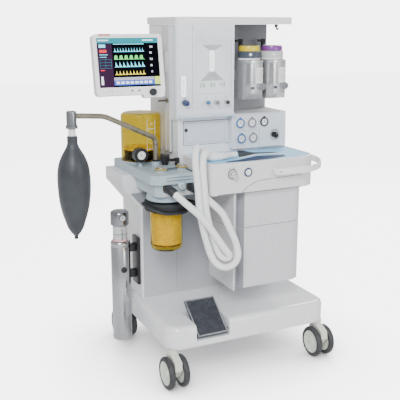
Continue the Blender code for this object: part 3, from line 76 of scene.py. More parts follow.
def camera():
    """The photograph's camera: left of the machine, a little above its top, looking down."""
    data = bpy.data.cameras.new("camera")
    data.lens, data.sensor_width = FOCAL_LENGTH, FILM_WIDTH
    made = bpy.data.objects.new("camera", data)
    bpy.context.scene.collection.objects.link(made)
    made.location = at(*CAMERA_SPOT)
    ahead = Vector((CAMERA_HEADING[0] * cos(CAMERA_DOWN), CAMERA_HEADING[1] * cos(CAMERA_DOWN),
                    -sin(CAMERA_DOWN)))
    made.rotation_mode = "QUATERNION"
    made.rotation_quaternion = ahead.to_track_quat("-Z", "Y")
    bpy.context.scene.camera = made


def area_light(name, spot, aim, size, power, color=(1, 1, 1)):
    """A round soft light at one spot, aimed at another, both in trolley coordinates."""
    data = bpy.data.lights.new(name, "AREA")
    data.shape, data.size, data.energy, data.color = "DISK", size, power, color
    made = bpy.data.objects.new(name, data)
    bpy.context.scene.collection.objects.link(made)
    made.location = at(*spot)
    made.rotation_mode = "QUATERNION"
    made.rotation_quaternion = (at(*aim) - at(*spot)).to_track_quat("-Z", "Y")


def brighter_behind(tree, socket, lit, seen):
    """One value for the light that falls on the object, and another for what the camera sees directly."""
    path = tree.nodes.new("ShaderNodeLightPath")
    spread = tree.nodes.new("ShaderNodeMapRange")
    spread.inputs["To Min"].default_value = lit
    spread.inputs["To Max"].default_value = seen
    tree.links.new(path.outputs["Is Camera Ray"], spread.inputs["Value"])
    tree.links.new(spread.outputs["Result"], socket)


def studio():
    """White room: even light all round, three soft lights and a floor that darkens under the trolley."""
    world = bpy.data.worlds.new("studio")
    bpy.context.scene.world = world
    world.use_nodes = True
    tree = world.node_tree
    back = tree.nodes["Background"]
    back.inputs["Color"].default_value = (1, 1, 1, 1)
    brighter_behind(tree, back.inputs["Strength"], ROOM_LIGHT, ROOM_SEEN)
    area_light("key", (-2.0, -2.6, 3.0), (0, 0.2, 0.8), 1.5, 150)
    area_light("front", (1.3, -3.0, 1.5), (0, 0.2, 0.7), 1.3, 30)
    area_light("rim", (2.4, 2.2, 2.6), (0, 0.3, 0.8), 1.6, 70)
    bm = bmesh.new()
    bmesh.ops.create_grid(bm, x_segments=1, y_segments=1, size=14)
    mesh = bpy.data.meshes.new("floor")
    bm.to_mesh(mesh)
    white = surface("floor_white", (0.93, 0.93, 0.94), 0.62, grain=0.01, scale=3)
    shader = white.node_tree.nodes["Principled BSDF"]
    shader.inputs["Emission Color"].default_value = (1, 1, 1, 1)
    tree = white.node_tree
    hollow = tree.nodes.new("ShaderNodeAmbientOcclusion")
    hollow.inputs["Distance"].default_value = SHADOW_REACH
    darker = tree.nodes.new("ShaderNodeMath")
    darker.operation = "POWER"
    darker.inputs[1].default_value = SHADOW_DEPTH
    tree.links.new(hollow.outputs["AO"], darker.inputs[0])
    product = tree.nodes.new("ShaderNodeMath")
    product.operation = "MULTIPLY"
    tree.links.new(darker.outputs["Value"], product.inputs[0])
    brighter_behind(tree, product.inputs[1], 0.0, FLOOR_SEEN)
    tree.links.new(product.outputs["Value"], shader.inputs["Emission Strength"])
    mesh.materials.append(white)
    floor = bpy.data.objects.new("floor", mesh)
    bpy.context.scene.collection.objects.link(floor)
    floor.location.z = -0.0005


# ---------------------------------------------------------------- materials
def surface(name, color, roughness, grain=0.03, scale=60.0, bump=0.0, bump_scale=900.0, stretch=(1, 1, 1),
            metallic=0.0, coat=0.0, sheen=0.0, transmission=0.0, ior=1.5, rough_grain=0.06, glow=0.0,
            dirt=None):
    """A moulded, painted or metal surface: mottled colour, uneven gloss and a fine relief."""
    made = bpy.data.materials.new(name)
    made.use_nodes = True
    tree = made.node_tree
    shader = tree.nodes["Principled BSDF"]
    link = tree.links.new
    coordinates = tree.nodes.new("ShaderNodeTexCoord")
    mapping = tree.nodes.new("ShaderNodeMapping")
    mapping.inputs["Scale"].default_value = stretch
    link(coordinates.outputs["Object"], mapping.inputs["Vector"])
    mottle = tree.nodes.new("ShaderNodeTexNoise")
    mottle.inputs["Scale"].default_value = scale
    mottle.inputs["Detail"].default_value = 5
    link(mapping.outputs["Vector"], mottle.inputs["Vector"])
    ramp = tree.nodes.new("ShaderNodeValToRGB")
    darker = [max(0.0, c * (1 - grain)) for c in color]
    lighter = [min(1.0, c * (1 + grain)) for c in color]
    ramp.color_ramp.elements[0].position, ramp.color_ramp.elements[1].position = 0.35, 0.65
    ramp.color_ramp.elements[0].color = (*(dirt or darker), 1)
    ramp.color_ramp.elements[1].color = (*lighter, 1)
    link(mottle.outputs["Fac"], ramp.inputs["Fac"])
    link(ramp.outputs["Color"], shader.inputs["Base Color"])
    gloss = tree.nodes.new("ShaderNodeMapRange")
    gloss.inputs["To Min"].default_value = max(0.02, roughness - rough_grain)
    gloss.inputs["To Max"].default_value = min(1.0, roughness + rough_grain)
    link(mottle.outputs["Fac"], gloss.inputs["Value"])
    link(gloss.outputs["Result"], shader.inputs["Roughness"])
    if bump:
        fine = tree.nodes.new("ShaderNodeTexNoise")
        fine.inputs["Scale"].default_value = bump_scale
        fine.inputs["Detail"].default_value = 3
        link(mapping.outputs["Vector"], fine.inputs["Vector"])
        relief = tree.nodes.new("ShaderNodeBump")
        relief.inputs["Strength"].default_value = bump
        relief.inputs["Distance"].default_value = 0.0004
        link(fine.outputs["Fac"], relief.inputs["Height"])
        link(relief.outputs["Normal"], shader.inputs["Normal"])
    for name, value in (("Metallic", metallic), ("Coat Weight", coat), ("Sheen Weight", sheen),
                        ("Transmission Weight", transmission), ("IOR", ior)):
        shader.inputs[name].default_value = value
    if glow:
        link(ramp.outputs["Color"], shader.inputs["Emission Color"])
        shader.inputs["Emission Strength"].default_value = glow
    made.diffuse_color = (*color, 1)
    return made


def cells(made, scale, depth, strength=1.0):
    """Adds a relief of small rounded cells, such as granules or a pebbled grain, to a material."""
    tree = made.node_tree
    grains = tree.nodes.new("ShaderNodeTexVoronoi")
    grains.inputs["Scale"].default_value = scale
    place = tree.nodes.new("ShaderNodeTexCoord")
    tree.links.new(place.outputs["Object"], grains.inputs["Vector"])
    relief = tree.nodes.new("ShaderNodeBump")
    relief.inputs["Strength"].default_value = strength
    relief.inputs["Distance"].default_value = depth
    relief.invert = True
    tree.links.new(grains.outputs["Distance"], relief.inputs["Height"])
    tree.links.new(relief.outputs["Normal"], tree.nodes["Principled BSDF"].inputs["Normal"])
    return made


def painted_shade_by_height(made, low, high, bottom, top):
    """Paints shade into a material: its colour changes with height in the row frame, while its gloss stays
    mottled as before.
    """
    tree = made.node_tree
    place = tree.nodes.new("ShaderNodeTexCoord")
    split = tree.nodes.new("ShaderNodeSeparateXYZ")
    tree.links.new(place.outputs["Object"], split.inputs["Vector"])
    height = tree.nodes.new("ShaderNodeMapRange")
    height.inputs["From Min"].default_value = low
    height.inputs["From Max"].default_value = high
    tree.links.new(split.outputs["Z"], height.inputs["Value"])
    ramp = tree.nodes.new("ShaderNodeValToRGB")
    ramp.color_ramp.elements[0].color = (*bottom, 1)
    ramp.color_ramp.elements[1].color = (*top, 1)
    tree.links.new(height.outputs["Result"], ramp.inputs["Fac"])
    tree.links.new(ramp.outputs["Color"], tree.nodes["Principled BSDF"].inputs["Base Color"])
    return made


def materials():
    """Every finish of the machine, by a short name."""
    brushed = dict(metallic=1.0, scale=40, stretch=(1, 1, 0.05), grain=0.10, rough_grain=0.10, bump=0.10,
                   bump_scale=500)
    m = {
        "base": surface("base_white", (0.84, 0.85, 0.87), 0.22, coat=0.5, bump=0.04, bump_scale=300),
        "casing": surface("casing_white", (0.80, 0.81, 0.83), 0.36, coat=0.15, bump=0.10, bump_scale=1400),
        "apron": surface("apron_white", (0.74, 0.73, 0.745), 0.36, coat=0.15, bump=0.10, bump_scale=1400),
        "panel": surface("panel_white", (0.70, 0.745, 0.80), 0.34, coat=0.25, bump=0.06, bump_scale=1400),
        "door": surface("door_blue_grey", (0.66, 0.71, 0.78), 0.34, coat=0.2, bump=0.06, bump_scale=1400),
        "drawer": surface("drawer_grey", (0.62, 0.625, 0.65), 0.38, coat=0.1, bump=0.12, bump_scale=1400),
        # painted shade for the drawers' finger recesses
        "recess": surface("recess_painted_shade", (0.30, 0.31, 0.34), 0.5, bump=0.15),
        # pedestal cover: grey, with painted shade making it darker towards the top, under the absorber
        "cover": painted_shade_by_height(surface("cover_painted_shade", (0.36, 0.38, 0.43), 0.42, bump=0.25, bump_scale=1600),
                             0.24, 0.66, (0.50, 0.51, 0.54), (0.27, 0.29, 0.34)),
        "seam": surface("seam_dark", (0.055, 0.058, 0.068), 0.6, grain=0.15),
        "line": surface("line_grey", (0.25, 0.265, 0.30), 0.5, grain=0.10),
        "edge_line": surface("edge_line", (0.42, 0.43, 0.46), 0.5, grain=0.08),
        "aluminium": surface("aluminium_satin", (0.50, 0.51, 0.53), 0.30, **brushed),
        "rail": surface("rail_satin", (0.70, 0.70, 0.72), 0.34, metallic=0.35, scale=40,
                        stretch=(1, 1, 0.05),
                        grain=0.08, bump=0.08, bump_scale=500),
        "steel": surface("steel_brushed", (0.48, 0.49, 0.51), 0.22, **brushed),
        "silver": surface("vaporizer_silver", (0.62, 0.625, 0.645), 0.22, metallic=0.75, coat=0.6, scale=6,
                          stretch=(9, 9, 0.2), grain=0.16, bump=0.04),
        "black": surface("black_moulded", (0.009, 0.009, 0.011), 0.34, grain=0.25, bump=0.20,
                         bump_scale=1500),
        "rubber": cells(surface("rubber_dark", (0.013, 0.015, 0.019), 0.55, grain=0.25), 900, 0.0003),
        "pad": cells(surface("pedal_rubber", (0.036, 0.040, 0.054), 0.60, grain=0.22,
                             dirt=(0.024, 0.027, 0.036)),
                     420, 0.0006),
        "absorber": surface("absorber_grey", (0.36, 0.46, 0.52), 0.34, coat=0.25, bump=0.12,
                            bump_scale=1300),
        "absorber_edge": surface("absorber_edge", (0.055, 0.080, 0.105), 0.40, bump=0.12),
        "amber": surface("amber_clear", (0.95, 0.80, 0.17), 0.05, grain=0.04, transmission=1.0, ior=1.22,
                         rough_grain=0.03),
        "amber_edge": surface("amber_edge", (0.60, 0.38, 0.04), 0.12, grain=0.10, transmission=0.75,
                              ior=1.3),
        "granules": cells(surface("absorbent_granules", (0.95, 0.76, 0.25), 0.75, grain=0.25, scale=260,
                                  dirt=(0.80, 0.54, 0.10)), 330, 0.0016),
        "clear": surface("clear_moulded", (0.93, 0.96, 0.97), 0.05, grain=0.02, transmission=1.0, ior=1.3,
                         rough_grain=0.02),
        "gold": surface("gold_ring", (0.72, 0.55, 0.22), 0.28, metallic=0.9, grain=0.15),
        "mat": cells(surface("mat_blue", (0.30, 0.62, 0.88), 0.55, grain=0.06,
                             scale=25), 1500, 0.0002, 0.5),
        # painted shade for the front wall of the mat's hollow
        "front_shade_blue": surface("mat_painted_shade_blue", (0.002, 0.022, 0.085), 0.6, grain=0.2),
        "cream": surface("castor_cream", (0.70, 0.71, 0.62), 0.38, coat=0.15, bump=0.08),
        "hub": surface("hub_pale_green", (0.66, 0.71, 0.62), 0.34, coat=0.2, grain=0.05, bump=0.08),
        "tyre": surface("tyre_dark", (0.026, 0.027, 0.031), 0.55, grain=0.22, bump=0.25, bump_scale=700,
                        dirt=(0.045, 0.045, 0.048)),
        "bag": cells(surface("bag_slate", (0.030, 0.035, 0.043), 0.46, grain=0.18, scale=18, sheen=0.12,
                             rough_grain=0.10), 1300, 0.00012, 0.6),
        "hose": surface("hose_white", (0.86, 0.87, 0.88), 0.36, grain=0.02, coat=0.2),
        "white": surface("white_moulded", (0.88, 0.88, 0.88), 0.30, coat=0.2, grain=0.02, bump=0.05),
        "navy": surface("navy_moulded", (0.006, 0.025, 0.095), 0.30, coat=0.2, grain=0.10, bump=0.08),
        "blue": surface("blue_moulded", (0.022, 0.14, 0.38), 0.30, coat=0.2, grain=0.10, bump=0.08),
        # painted shade: pale blue-grey standing for the flow panel's lower bevel in shade
        "lip_shade": surface("lip_painted_shade", (0.47, 0.63, 0.76), 0.4, grain=0.04),
        # painted glow: the flow tube plates glow to look brighter than the panel, though they are no lamp
        "bright": surface("window_white_painted_glow", (0.96, 0.97, 0.97), 0.4, grain=0.01, glow=1.3),
        "arm": surface("arm_olive_grey", (0.25, 0.225, 0.165), 0.28, metallic=0.6, scale=30, grain=0.12,
                       bump=0.05),
        "peg": surface("peg_olive", (0.15, 0.135, 0.10), 0.35, metallic=0.7, grain=0.15),
        "dark_steel": surface("steel_dark", (0.27, 0.28, 0.30), 0.26, **brushed),
        "grey": surface("grey_moulded", (0.20, 0.205, 0.22), 0.35, grain=0.10, bump=0.10),
        "light_grey": surface("light_grey_moulded", (0.55, 0.56, 0.57), 0.38, grain=0.05, bump=0.12),
        "slate": surface("slate_moulded", (0.055, 0.072, 0.10), 0.38, grain=0.12, bump=0.15),
        "yellow": surface("yellow_moulded", (0.72, 0.54, 0.01), 0.32, coat=0.2, grain=0.08),
        "purple": surface("purple_moulded", (0.20, 0.045, 0.28), 0.32, coat=0.2, grain=0.08),
        "lamp_red": surface("lamp_pale_red", (0.88, 0.42, 0.40), 0.18, transmission=0.3, grain=0.06),
        "brown": surface("brown_ring", (0.17, 0.10, 0.045), 0.4, grain=0.15),
        "pink": surface("pink_ring", (0.72, 0.45, 0.45), 0.4, grain=0.06),
        # vaporizer bay back: dark grey with painted shade, darker towards the top under the shelf
        "bay": painted_shade_by_height(surface("bay_back_painted_shade", (0.3, 0.3, 0.32), 0.5, bump=0.15), 1.02, 1.30,
                           (0.42, 0.42, 0.45), (0.185, 0.185, 0.205)),
    }
    for name, color, glow in (("screen_black", (0.002, 0.002, 0.004), 0.1),
                              ("screen_purple", (0.030, 0.012, 0.034), 0.6),
                              ("screen_teal", (0.015, 0.21, 0.25), 0.7),
                              ("screen_cyan", (0.16, 0.70, 0.84), 0.9),
                              ("screen_green", (0.12, 0.62, 0.16), 0.9),
                              ("screen_yellow", (0.82, 0.70, 0.08), 0.9),
                              ("screen_red", (0.62, 0.04, 0.05), 0.9),
                              ("screen_white", (0.74, 0.80, 0.84), 0.8),
                              ("screen_lilac", (0.36, 0.36, 0.46), 0.6),
                              ("screen_blue", (0.05, 0.10, 0.42), 0.9),
                              ("screen_lime", (0.52, 0.66, 0.10), 0.9),
                              ("digits_green", (0.01, 0.36, 0.19), 0.2)):
        m[name] = surface(name, color, 0.6, grain=0.08, scale=500, glow=glow, ior=1.05)
    return m


M = materials()


def add(name, bm, look, body=ROOT, replaces=(), sharp=35, matrix=None):
    """Makes a piece from a mesh in trolley coordinates. It rides on a body, or on none with body None."""
    mesh = bpy.data.meshes.new(name)
    if matrix:
        bmesh.ops.transform(bm, matrix=matrix, verts=bm.verts)
    bmesh.ops.translate(bm, vec=SHIFT, verts=bm.verts)
    bmesh.ops.recalc_face_normals(bm, faces=bm.faces)
    bm.to_mesh(mesh)
    bm.free()
    mesh.shade_smooth()
    mesh.set_sharp_from_angle(angle=radians(sharp))
    mesh.materials.append(M[look])
    made = bpy.data.objects.new(name, mesh)
    bpy.context.scene.collection.objects.link(made)
    if body:
        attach(made, body)
    if replaces:
        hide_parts(*replaces)
    return made


def merge(*parts):
    """One mesh that holds all the given ones, as separate shells."""
    whole = bmesh.new()
    for part in parts:
        scratch = bpy.data.meshes.new("scratch")
        part.to_mesh(scratch)
        part.free()
        whole.from_mesh(scratch)
        bpy.data.meshes.remove(scratch)
    return whole


def lathe(profile, centre=(0, 0, 0), axis="Z", segments=64):
    """(radius, height) pairs turned round an axis through centre. A profile off the axis makes a ring."""
    bm = bmesh.new()
    rings = []
    for radius, height in profile:
        if radius < 1e-9:
            rings.append([bm.verts.new((0, 0, height))])
            continue
        rings.append([bm.verts.new((radius * cos(tau * k / segments), radius * sin(tau * k / segments),
                                    height)) for k in range(segments)])
    closed = all(len(ring) > 1 for ring in rings)
    for lower, upper in zip(rings, rings[1:] + rings[:1]) if closed else zip(rings, rings[1:]):
        for k in range(segments):
            n = (k + 1) % segments
            if len(lower) == 1 and len(upper) == 1:
                continue
            if len(lower) == 1:
                bm.faces.new((lower[0], upper[n], upper[k]))
            elif len(upper) == 1:
                bm.faces.new((lower[k], lower[n], upper[0]))
            else:
                bm.faces.new((lower[k], lower[n], upper[n], upper[k]))
    turn = {"Z": Matrix.Identity(4), "X": Matrix.Rotation(pi / 2, 4, "Y"),
            "Y": Matrix.Rotation(-pi / 2, 4, "X")}
    bmesh.ops.transform(bm, matrix=Matrix.Translation(centre) @ turn[axis], verts=bm.verts)
    return bm


def disc(radius, start, end, centre, axis="Z", round_=0.0, segments=40):
    """A solid disc or rod from start to end along an axis, with rounded rims."""
    middle = list(centre)
    middle["XYZ".index(axis)] = 0
    low, high = min(start, end), max(start, end)
    r = min(round_, (high - low) / 2.1, radius * 0.9)
    profile = [(0, low)]
    profile += [(radius - r + r * sin(radians(a)), low + r - r * cos(radians(a))) for a in (0, 30, 60, 90)]
    profile += [(radius - r + r * cos(radians(a)), high - r + r * sin(radians(a))) for a in (0, 30, 60, 90)]
    profile.append((0, high))
    if not r:
        profile = [(0, low), (radius, low), (radius, high), (0, high)]
    return lathe(profile, middle, axis, segments)


def ring(inner, outer, start, end, centre, axis="Z", segments=48):
    """A flat ring with softly rounded outer edges."""
    middle = list(centre)
    middle["XYZ".index(axis)] = 0
    soft = min(abs(end - start), outer - inner) * 0.25
    low, high = min(start, end), max(start, end)
    profile = [(inner, low), (outer - soft, low), (outer, low + soft), (outer, high - soft),
               (outer - soft, high), (inner, high)]
    return lathe(profile, middle, axis, segments)


def slab(low, high, radius=0.0, along="Z", soft=0.0):
    """A box between two corners, with rounded edges along one axis and softened other edges."""
    bm = bmesh.new()
    low, high = Vector(low), Vector(high)
    bmesh.ops.create_cube(bm, size=1.0)
    bmesh.ops.transform(bm, matrix=Matrix.Translation((low + high) / 2)
                        @ Matrix.Diagonal((*(high - low), 1)), verts=bm.verts)
    index = "XYZ".index(along)
    if radius:
        edges = [e for e in bm.edges
                 if abs((e.verts[1].co - e.verts[0].co)[index]) > 0.99 * e.calc_length()]
        bmesh.ops.bevel(bm, geom=edges, offset=radius, segments=8, profile=0.5, affect="EDGES")
    if soft:
        edges = [e for e in bm.edges if len(e.link_faces) == 2 and e.calc_face_angle(0) > radians(50)]
        bmesh.ops.bevel(bm, geom=edges, offset=soft, segments=3, profile=0.5, affect="EDGES")
    return bm


def sheet_of(outline, axis, start, end):
    """An outline given in the plane across an axis, extruded from start to end."""
    def point(pair, along):
        a, b = pair
        return {"X": (along, a, b), "Y": (a, along, b), "Z": (a, b, along)}[axis]

    bm = bmesh.new()
    face = bm.faces.new([bm.verts.new(point(pair, start)) for pair in outline])
    grown = bmesh.ops.extrude_face_region(bm, geom=[face])["geom"]
    bmesh.ops.translate(bm, vec=Vector(point((0, 0), end - start)),
                        verts=[g for g in grown if isinstance(g, bmesh.types.BMVert)])
    bmesh.ops.triangulate(bm, faces=[f for f in bm.faces if len(f.verts) > 4])
    return bm


def smooth_path(points, steps=10):
    """Points on a Catmull-Rom curve through the given ones."""
    points = [Vector(p) for p in points]
    padded = [2 * points[0] - points[1]] + points + [2 * points[-1] - points[-2]]
    path = []
    for a, b, c, d in zip(padded, padded[1:], padded[2:], padded[3:]):
        for k in range(steps):
            t = k / steps
            path.append(0.5 * ((2 * b) + (c - a) * t + (2 * a - 5 * b + 4 * c - d) * t ** 2
                               + (3 * b - a - 3 * c + d) * t ** 3))
    return path + [points[-1]]


def rounded_path(points, radius, steps=8):
    """Straight runs with each corner replaced by a short curve."""
    points = [Vector(p) for p in points]
    path = [points[0]]
    for before, corner, after in zip(points, points[1:], points[2:]):
        reach = min(radius, 0.45 * (corner - before).length, 0.45 * (after - corner).length)
        start = corner + (before - corner).normalized() * reach
        end = corner + (after - corner).normalized() * reach
        path += [(1 - t) ** 2 * start + 2 * t * (1 - t) * corner + t * t * end
                 for t in (k / steps for k in range(steps + 1))]
    return path + [points[-1]]


def spaced(path, count):
    """The path again, as count equal steps."""
    lengths = [(b - a).length for a, b in zip(path, path[1:])]
    total, walked, made, index = sum(lengths), 0.0, [path[0]], 0
    for k in range(1, count):
        goal = total * k / count
        while walked + lengths[index] < goal:
            walked += lengths[index]
            index += 1
        made.append(path[index].lerp(path[index + 1], (goal - walked) / lengths[index]))
    return made + [path[-1]]


def length_of(path):
    """Length of a path of points."""
    return sum((b - a).length for a, b in zip(path, path[1:]))


def tube(path, radius, sides=20):
    """A round tube along a path. radius is a number or a function of the place along it, 0 to 1."""
    bm = bmesh.new()
    rings, over = [], None
    for index, here in enumerate(path):
        before, after = path[max(index - 1, 0)], path[min(index + 1, len(path) - 1)]
        along = (after - before).normalized()
        if over is None:
            over = along.orthogonal().normalized()
        over = (over - along * over.dot(along)).normalized()
        side = along.cross(over)
        r = radius(index / (len(path) - 1)) if callable(radius) else radius
        rings.append([bm.verts.new(here + (side * cos(tau * k / sides) + over * sin(tau * k / sides)) * r)
                      for k in range(sides)])
    for lower, upper in zip(rings, rings[1:]):
        for k in range(sides):
            n = (k + 1) % sides
            bm.faces.new((lower[k], lower[n], upper[n], upper[k]))
    bm.faces.new(rings[0])
    bm.faces.new(rings[-1])
    return bm


def fluted(radius, depth, flutes, low, high, centre, axis="Z", top_round=0.003, cap=True):
    """A knob with grooves along its side."""
    segments = flutes * 6
    bm = bmesh.new()
    levels = [(low, 1.0), (high - top_round, 1.0), (high - top_round * 0.3, 0.965), (high, 0.90)]
    rings = []
    for height, share in levels:
        points = []
        for k in range(segments):
            angle = tau * k / segments
            r = (radius - depth * (0.5 - 0.5 * cos(flutes * angle))) * share
            points.append(bm.verts.new((r * cos(angle), r * sin(angle), height)))
        rings.append(points)
    for lower, upper in zip(rings, rings[1:]):
        for k in range(segments):
            n = (k + 1) % segments
            bm.faces.new((lower[k], lower[n], upper[n], upper[k]))
    bm.faces.new(rings[0])
    if cap:
        bm.faces.new(rings[-1])
    flip = {"Z": Matrix.Identity(4), "Y": Matrix.Rotation(pi / 2, 4, "X")}
    bmesh.ops.transform(bm, matrix=Matrix.Translation(centre) @ flip[axis], verts=bm.verts)
    return bm


# ---------------------------------------------------------------- CAD nodes that stay
def soften(node, width):
    """Small real roundings on a CAD solid's sharp edges."""
    weld = node.modifiers.new("weld", "WELD")
    weld.merge_threshold = 0.00001
    edge = node.modifiers.new("edges", "BEVEL")
    edge.width, edge.segments, edge.limit_method, edge.angle_limit = width, 2, "ANGLE", radians(40)
    edge.use_clamp_overlap = True
    node.modifiers.new("shading", "WEIGHTED_NORMAL")


def carried_over():
    """The CAD solids whose shape is right, each with its own finish."""
    plan = (("base", 0.0015, "trolley_base"),
            ("casing", 0.0020, "pedestal_cabinet drawer_cabinet upper_cabinet"),
            ("cover", 0.0008, "pedestal_cover"), ("drawer", 0.0012, "lower_drawer upper_drawer"),
            ("apron", 0.0012, "worktop"), ("mat", 0.0008, "worktop_mat"),
            ("white", 0.0010, "handle_rail monitor_housing"), ("panel", 0.0010, "flow_panel gauge_panel"),
            ("door", 0.0010, "service_door"), ("rail", 0.0008, "side_rail monitor_arm"),
            ("silver", 0.0012, "vaporizer_left vaporizer_right"), ("absorber", 0.0012, "absorber_body"),
            ("slate", 0.0012, "brake_pedal"),
            ("cream", 0.0010, " ".join("castor_fork_" + name for name in CASTORS)),
            ("casing", 0.0010, "top_shelf"))
    for look, width, names in plan:
        for name in names.split():
            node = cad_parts[name]
            node.data.materials.clear()
            node.data.materials.append(M[look])
            soften(node, width)


CASTORS = {"front_left": (-0.325, 0.018), "front_right": (0.325, 0.018),
           "rear_left": (-0.338, 0.542), "rear_right": (0.338, 0.542)}


def castors():
    """Tyres and dished hubs of the twin wheels."""
    radius, half_gap, width, z = 0.0625, 0.0165, 0.025, 0.0625
    for name, (x, y) in CASTORS.items():
        tyres, hubs = [], []
        for side in (-1, 1):
            inner, outer = side * half_gap, side * (half_gap + width)
            middle = (inner + outer) / 2
            tread = [(0.046, inner + side * 0.002)]
            tread += [(radius - 0.009 + 0.009 * cos(radians(a)),
                       middle - side * 0.0125 * sin(radians(a)) * 0.96)
                      for a in (75, 55, 35, 15, 0, -15, -35, -55, -75)]
            tread += [(0.0475, outer - side * 0.001), (0.046, outer - side * 0.003)]
            tyres.append(lathe(tread, (x, y, z), "X", 72))
            face = outer - side * 0.002
            dish = [(0, inner + side * 0.003), (0.0455, inner + side * 0.003), (0.0458, face),
                    (0.0430, face), (0.0400, face - side * 0.003), (0.0200, face - side * 0.0075),
                    (0.0175, face - side * 0.0040), (0.0140, face - side * 0.0015),
                    (0.0060, face - side * 0.0005), (0, face - side * 0.0005)]
            hubs.append(lathe(dish, (x, y, z), "X", 64))
        hubs.append(disc(0.0060, x - 0.0170, x + 0.0170, (x, y, z), "X", segments=24))
        body = "castor_wheels_" + name
        add("tyres_" + name, merge(*tyres), "tyre", body, replaces=[body])
        add("hubs_" + name, merge(*hubs), "hub", body)


def brake_pedal():
    """Ribbed rubber pad in a bright frame on the pedal's sloping plate."""
    front, back = Vector((0, 0.001, 0.192)), Vector((0, 0.130, 0.290))
    along = (back - front).normalized()
    normal = Vector((1, 0, 0)).cross(along)
    middle = (front + back) / 2 + Vector((-0.17, 0, 0))
    tilt = Matrix.Translation(middle) @ Matrix((Vector((1, 0, 0)), along, normal)).transposed().to_4x4()
    half_w, half_l, rim = 0.0625, (back - front).length / 2, 0.005
    bars = [slab((-half_w, -half_l, 0), (half_w, -half_l + rim, 0.0024), soft=0.0006),
            slab((-half_w, half_l - rim, 0), (half_w, half_l, 0.0024), soft=0.0006),
            slab((-half_w, -half_l + rim, 0), (-half_w + rim, half_l - rim, 0.0024), soft=0.0006),
            slab((half_w - rim, -half_l + rim, 0), (half_w, half_l - rim, 0.0024), soft=0.0006)]
    add("pedal_frame", merge(*bars), "aluminium", "brake_pedal", matrix=tilt)
    ribs_and_streaks = [slab((-half_w + rim, -half_l + rim, 0.0001), (half_w - rim, half_l - rim, 0.0012))]
    count = 17
    pitch = (2 * (half_l - rim) - 0.004) / count
    for k in range(count):
        y = -half_l + rim + 0.002 + k * pitch
        ribs_and_streaks.append(slab((-half_w + rim + 0.003, y, 0.0011), (half_w - rim - 0.003, y + pitch * 0.62,
                                                              0.0026), soft=0.0005))
    add("pedal_pad", merge(*ribs_and_streaks), "pad", "brake_pedal", matrix=tilt)


# ---------------------------------------------------------------- drawers and worktop
def drawer_recess():
    """Painted shade: a darker strip laid in the finger recess of each drawer."""
    line = [(-0.0593, 0.0398), (-0.0458, 0.0757), (-0.0332, 0.0757), (-0.0163, 0.0499)]
    back = [(x - 0.0002, y + 0.0006) for x, y in reversed(line)]
    for name, low, high in (("lower_drawer", 0.337, 0.578), ("upper_drawer", 0.582, 0.7195)):
        add("finger_recess_shade_" + name, sheet_of(line + back, "Z", low, high), "recess", name)


def front_line(points, radius=0.0009):
    """A fine seam on the worktop's apron through (x, z) points, laid on its front face."""
    def face(x):
        if x < 0.03:
            return 0.0300 - 0.003 * min(1, max(0, (x + 0.147) / 0.177))
        return 0.027 + 0.003 * (x - 0.03) / 0.194

    path = smooth_path([(x, face(x) - 0.0001, z) for x, z in points], 8)
    return tube(path, radius, 8)


def apron():
    """Seams, oxygen flush button, gas-outlet switch and handle screw on the worktop's apron."""
    seam = front_line([(-0.042, 0.7235), (-0.020, 0.742), (0.008, 0.757), (0.040, 0.765), (0.110, 0.768),
                       (0.170, 0.770), (0.222, 0.7705)])
    low = front_line([(-0.140, 0.7245), (-0.040, 0.7235), (0.060, 0.7235), (0.150, 0.7235),
                      (0.222, 0.7235)], 0.0012)
    add("apron_seams", merge(seam, low), "seam")
    flush_x, flush_z = -0.016, 0.801
    add("flush_guard", ring(0.0122, 0.0172, 0.0232, 0.0262, (flush_x, 0, flush_z), "Y"), "navy")
    button = merge(disc(0.0108, 0.0208, 0.0440, (flush_x, 0, flush_z), "Y", 0.0015),
                   ring(0.0060, 0.0072, 0.0204, 0.0212, (flush_x, 0, flush_z), "Y"))
    add("flush_button", button, "white", "oxygen_flush_button", ["oxygen_flush_button"])
    x, z = -0.082, 0.799
    plate = merge(ring(0.0158, 0.0186, 0.0246, 0.0272, (x, 0, z), "Y"),
                  slab((x - 0.013, 0.0255, z + 0.021), (x - 0.009, 0.0298, z + 0.0225)),
                  slab((x + 0.004, 0.0255, z + 0.022), (x + 0.008, 0.0298, z + 0.0235)),
                  slab((x + 0.0068, 0.0255, z + 0.0175), (x + 0.0082, 0.0298, z + 0.0205)))
    add("outlet_plate_marks", plate, "slate")
    knob = merge(disc(0.0124, 0.0020, 0.0180, (x, 0, z), "Y", 0.0030),
                 disc(0.0112, 0.0175, 0.0255, (x, 0, z), "Y"), disc(0.0040, 0.0250, 0.0440, (x, 0, z), "Y",
                                                                    segments=24))
    add("outlet_knob", knob, "silver", "gas_outlet_switch", replaces=["gas_outlet_switch"])
    add("outlet_pointer", slab((x - 0.0011, 0.0014, z + 0.003), (x + 0.0011, 0.0026, z + 0.0115)), "grey",
        "gas_outlet_switch")
    screw = disc(0.0028, -0.0080, -0.0062, (0.108, 0, 0.797), "Y", 0.0004, 24)
    add("handle_screw", screw, "black")


